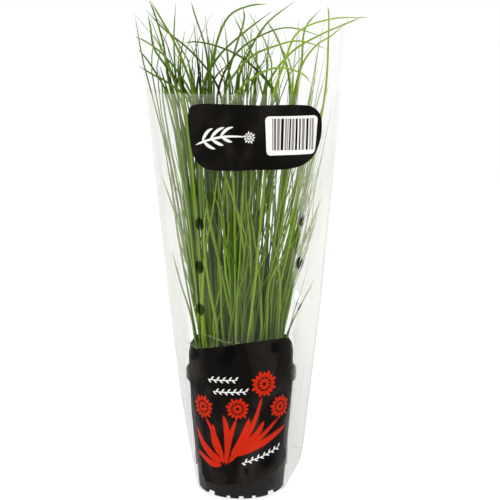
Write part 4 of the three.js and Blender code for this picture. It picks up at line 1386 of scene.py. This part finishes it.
def tuft_mesh(index, leaves):
    """One tuft: its bulbs and all of its leaves."""
    templates = {rows: leaf_template(rows) for rows in (ARCHED_ROWS, STRAIGHT_ROWS)}
    bm = bmesh.new()
    for leaf in leaves:
        bm.from_mesh(templates[leaf["rows"]])
    bulb_start = len(bm.verts)
    add_bulbs(bm, index, leaves)
    mesh = new_mesh(f"chives_{index + 1}", bm)
    points = places(mesh)
    values = {name: np.zeros(len(points)) for name in ("tone", "along", "turn", "dry")}
    values["tone"][bulb_start:] = BULB_TONE
    first = 0
    for i, leaf in enumerate(leaves):
        draw = Draw(613 * (index + 1) + 7 * i)
        slimmest, broadest, power = leaf["girth"]
        radius = LEAF_RADIUS * lerp(slimmest, broadest, draw(0, 1) ** power)
        if leaf["rows"] != ARCHED_ROWS:
            radius *= lerp(1, SLIMMER_RIGHT, smoothstep(leaf["line"][-1][0], 12, 38))
        straight = places(templates[leaf["rows"]])
        turn, tip = draw(0, math.pi), draw(0.16, 0.4)
        bent, along, corner = bent_leaf(straight, leaf["rows"], leaf["line"], radius, turn, tip)
        rows = slice(first, first + len(straight))
        first += len(straight)
        points[rows] = bent
        values["tone"][rows], values["along"][rows] = leaf["tone"], along
        values["turn"][rows], values["dry"][rows] = corner, leaf["dry"]
    set_places(mesh, points)
    for name, numbers in values.items():
        set_numbers(mesh, name, numbers)
    for template in templates.values():
        bpy.data.meshes.remove(template)
    return mesh


def add_bulbs(bm, index, leaves):
    """A small white bulb under every third leaf, packed into the tuft's hole."""
    for i, leaf in list(enumerate(leaves))[::3]:
        draw = Draw(97 * (index + 1) + i)
        made = bmesh.ops.create_uvsphere(bm, u_segments=10, v_segments=7, radius=1)["verts"]
        for vert in made:
            pinch = 1 - 0.45 * max(0, vert.co.z) ** 1.5
            vert.co.x *= pinch
            vert.co.y *= pinch
        root = np.array(leaf["line"][0][:2]) - TUFT_CENTRES[index]
        root *= min(1, (TUFT_RADIUS - 2.6) / max(np.hypot(*root), 1e-6))
        width = draw(1.8, 2.4)
        shape = Matrix.Diagonal((width, width, draw(5, 6.2), 1))
        spot = Matrix.Translation((*(TUFT_CENTRES[index] + root), SOIL_TOP - 2.6 + draw(-0.8, 0.6)))
        bmesh.ops.transform(bm, verts=made, matrix=spot @ shape)


def leaf_tone(line, draw):
    """A leaf's tone from 0, dark, to 1, lime. The right of the crown is younger than the left."""
    x, _, z = line[-1]
    tone = MIDDLE_TONE + YOUNGER_RIGHT * x * smoothstep(z, 300, 420) + draw(-TONE_SPREAD, TONE_SPREAD)
    return float(np.clip(tone, *TONE_LIMITS))


# ---- Operators ----


class CHIVES_OT_sleeve(bpy.types.Operator):
    """Makes the clear film sleeve with its vent holes"""

    bl_idname = "chives.sleeve"
    bl_label = "Film sleeve"

    def execute(self, context):
        settings = context.scene.chives_sleeve
        mesh = film_mesh(settings.vent_radius / METRE)
        new_piece("film_sleeve", mesh, film_finish(settings), "film", ["sleeve"])
        return {"FINISHED"}


class CHIVES_OT_print(bpy.types.Operator):
    """Makes the printed panels, marks and flowers that lie on the film"""

    bl_idname = "chives.print"
    bl_label = "Print on the film"

    def execute(self, context):
        settings = context.scene.chives_sleeve
        front, back = Panel(True), Panel(False)
        black = ink_finish("black_ink", settings.ink_black, 0.32, 0.045, WET_SPOTS)
        white = ink_finish("white_ink", settings.ink_white, 0.45, 0.1)
        red = ink_finish("red_ink", settings.ink_red, 0.4, 0.04)
        grey = ink_finish("faded_ink", settings.ink_grey, 0.45, 0.1)
        upper, lower = closed_curve(UPPER_PANEL), closed_curve(LOWER_PANEL, 96)
        first, second, third = PRINT_LIFTS
        sheets = (
            ("print_upper_panel", black, "print_black", front, first, add_outline, upper),
            ("print_lower_panel", black, "print_black", front, first, add_outline, lower),
            ("print_back_panel", black, "print_black", back, first, add_outline, BACK_PANEL),
            ("print_white_marks", white, "print_white", front, second, white_print),
            ("print_bars", black, "print_black", front, third, add_bars, BLACK_BARS),
            ("print_faded_bars", grey, "print_black", front, third, add_bars, FADED_BARS),
            ("print_flowers", red, "print_red", front, second, flower_print),
            ("print_back_flowers", red, "print_red", back, second, flower_print),
        )
        for name, ink, slot, panel, lift, draw_on, *shapes in sheets:
            bm = bmesh.new()
            draw_on(bm, *shapes)
            add_wall(new_piece(name, lay_on_film(bm, name, panel, lift), ink, slot), PRINT_WALL)
        return {"FINISHED"}


class CHIVES_OT_pot(bpy.types.Operator):
    """Makes the nursery pot, with its rim, foot, notches and drain holes"""

    bl_idname = "chives.pot"
    bl_label = "Nursery pot"

    def execute(self, context):
        profile = [(r, z + POT_FLOOR) for r, z in pot_profile()]
        mesh = new_mesh("nursery_pot", spun(profile, POT_STEPS))
        piece = new_piece("nursery_pot", mesh, plastic_finish(context.scene.chives_pot), "pot_plastic", ["pot"])
        cut_away(piece, foot_cutter())
        piece.data.set_sharp_from_angle(angle=math.radians(35))
        return {"FINISHED"}


class CHIVES_OT_soil(bpy.types.Operator):
    """Makes the potting soil and its loose crumbs"""

    bl_idname = "chives.soil"
    bl_label = "Potting soil"

    def execute(self, context):
        settings = context.scene.chives_pot
        material = soil_finish(settings)
        new_piece("potting_soil", soil_mesh(settings.crumb / METRE), material, "soil", ["soil"])
        new_piece("soil_crumbs", crumb_mesh(), material, "soil", smooth=False)
        return {"FINISHED"}


class CHIVES_OT_leaves(bpy.types.Operator):
    """Grows the seven tufts of chives"""

    bl_idname = "chives.leaves"
    bl_label = "Chive tufts"

    def execute(self, context):
        settings = context.scene.chives_leaves
        material = leaf_finish(settings)
        tufts = [[] for _ in TUFT_CENTRES]
        draw = Draw(TONE_SEED)
        for i, (tuft, line) in enumerate(frame_leaves()):
            if i < len(LOOSE_LEAVES):
                tufts[tuft].append((line, ARCHED_ROWS, ARCHED_GIRTH, LOOSE_LEAVES[i][2]))
            else:
                tufts[tuft].append((gathered(swayed(line, draw)), STRAIGHT_ROWS, COMMON_GIRTH, None))
        fine = [(tuft, fine_leaf(tuft, i, settings.extra)) for tuft in range(len(tufts)) for i in range(settings.extra)]
        fine = [(tuft, None if line is None else gathered(line)) for tuft, line in fine]
        fine += [clump_leaf(clump, index) for clump, place in enumerate(CLUMPS) for index in range(place[3])]
        fine += [side_leaf(index) for index in range(SIDE_LEAVES)]
        fine += vent_leaves()
        fine += [loose_leaf(depth, top) for depth, top in STRAY_LEAVES]
        for tuft, line in fine:
            if line is not None:
                tufts[tuft].append((line, STRAIGHT_ROWS, COMMON_GIRTH, None))
        for depth, top in CROSSING_LEAVES:
            tuft, line = loose_leaf(depth, top)
            tone = CROSSING_TONE + draw(-CROSSING_SPREAD, CROSSING_SPREAD)
            tufts[tuft].append((line, STRAIGHT_ROWS, CROSSING_GIRTH, tone))
        for tuft, lines in enumerate(tufts):
            leaves = []
            for line, rows, girth, tone in lines:
                tone = leaf_tone(line, draw) if tone is None else tone
                dry = float(draw(0, 1) > MOIST_SHARE)
                leaves.append({"line": line, "rows": rows, "girth": girth, "tone": tone, "dry": dry})
            mesh = tuft_mesh(tuft, leaves)
            new_piece(f"chives_{tuft + 1}", mesh, material, "leaf", [f"tuft_{tuft + 1}"])
        return {"FINISHED"}


# The lights: width and height, and place, in metres. They point at LIT_SPOT.
LIGHTS = {
    "key": ((0.9, 1.3), (-0.95, -1.1, 0.95)),
    "fill": ((0.7, 1.2), (1.15, -0.75, 0.7)),
    "top": ((1.0, 0.8), (0.1, 0.45, 1.35)),
    "back": ((1.4, 0.7), (0, 1.5, 1.3)),
}
LIT_SPOT = (0, 0, 0.22)
CAMERA_PLACE, CAMERA_PITCH = (0.0079, -1.075, 0.443), -11.7
CAMERA_SENSOR, CAMERA_LENS, CAMERA_END = 36, 88.85, 400
FLOOR_HALF = 150  # metres


class CHIVES_OT_stage(bpy.types.Operator):
    """Sets up the floor, the lights and the camera"""

    bl_idname = "chives.stage"
    bl_label = "Stage"

    def execute(self, context):
        settings = context.scene.chives_stage
        self.floor(settings)
        self.surroundings(context, settings)
        for name, (size, place) in LIGHTS.items():
            self.light(f"{name}_light", getattr(settings, name), size, place)
        self.camera(context)
        context.scene.view_settings.view_transform = "Standard"
        return {"FINISHED"}

    @staticmethod
    def floor(settings):
        f = Finish("studio_floor")
        glow = f.shader("Emission", Color=(1, 1, 1, 1), Strength=1.06)
        paint = f.shader("BsdfDiffuse", Color=(0.9, 0.9, 0.9, 1))
        bm = bmesh.new()
        bmesh.ops.create_grid(bm, x_segments=2, y_segments=2, size=FLOOR_HALF)
        mesh = new_mesh("studio_floor", bm)
        mesh.materials.append(f.finished(f.blend(settings.floor, paint, glow)))
        floor = new_object("studio_floor", mesh)
        floor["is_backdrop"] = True

    @staticmethod
    def surroundings(context, settings):
        world = bpy.data.worlds.new("studio")
        world.use_nodes = True
        back = world.node_tree.nodes["Background"]
        back.inputs["Color"].default_value = (1, 1, 1, 1)
        back.inputs["Strength"].default_value = settings.surroundings
        context.scene.world = world

    @staticmethod
    def light(name, power, size, place):
        data = bpy.data.lights.new(name, "AREA")
        data.shape, data.size, data.size_y, data.energy = "RECTANGLE", *size, power
        lamp = new_object(name, data)
        lamp.location = place
        lamp.rotation_euler = (Vector(LIT_SPOT) - Vector(place)).to_track_quat("-Z", "Y").to_euler()

    @staticmethod
    def camera(context):
        data = bpy.data.cameras.new("studio_camera")
        data.sensor_width, data.lens, data.clip_end = CAMERA_SENSOR, CAMERA_LENS, CAMERA_END
        camera = new_object("studio_camera", data)
        camera.location = CAMERA_PLACE
        camera.rotation_euler = (math.radians(90 + CAMERA_PITCH), 0, 0)
        context.scene.camera = camera


class CHIVES_PT_sidebar(bpy.types.Panel):
    """Lists the parts of the potted chives"""

    bl_idname = "CHIVES_PT_sidebar"
    bl_label = "Potted chives"
    bl_space_type = "VIEW_3D"
    bl_region_type = "UI"
    bl_category = "Chives"

    def draw(self, context):
        for settings, group, operators in PARTS:
            box = self.layout.box()
            for name in group.__annotations__:
                box.prop(getattr(context.scene, settings), name)
            for operator in operators:
                box.operator(operator.bl_idname)


# The parts: the name of their settings in the scene, what these are, and what makes the parts.
PARTS = [
    ("chives_sleeve", SleeveSettings, [CHIVES_OT_sleeve, CHIVES_OT_print]),
    ("chives_pot", PotSettings, [CHIVES_OT_pot, CHIVES_OT_soil]),
    ("chives_leaves", ChiveSettings, [CHIVES_OT_leaves]),
    ("chives_stage", StageSettings, [CHIVES_OT_stage]),
]
OPERATORS = [operator for *_, operators in PARTS for operator in operators]
CLASSES = [*(group for _, group, _ in PARTS), *OPERATORS, CHIVES_PT_sidebar]


def register():
    for known in CLASSES:
        bpy.utils.register_class(known)
    for name, group, _ in PARTS:
        setattr(bpy.types.Scene, name, bpy.props.PointerProperty(type=group))


def unregister():
    for name, *_ in PARTS:
        delattr(bpy.types.Scene, name)
    for known in reversed(CLASSES):
        bpy.utils.unregister_class(known)


def main():
    register()
    for operator in OPERATORS:
        family, name = operator.bl_idname.split(".")
        getattr(getattr(bpy.ops, family), name)()
    boxes = {"cad": CAD_BOX, "visual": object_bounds()}
    plain = {name: [[float(axis) for axis in corner] for corner in box] for name, box in boxes.items()}


if __name__ == "__main__":
    main()
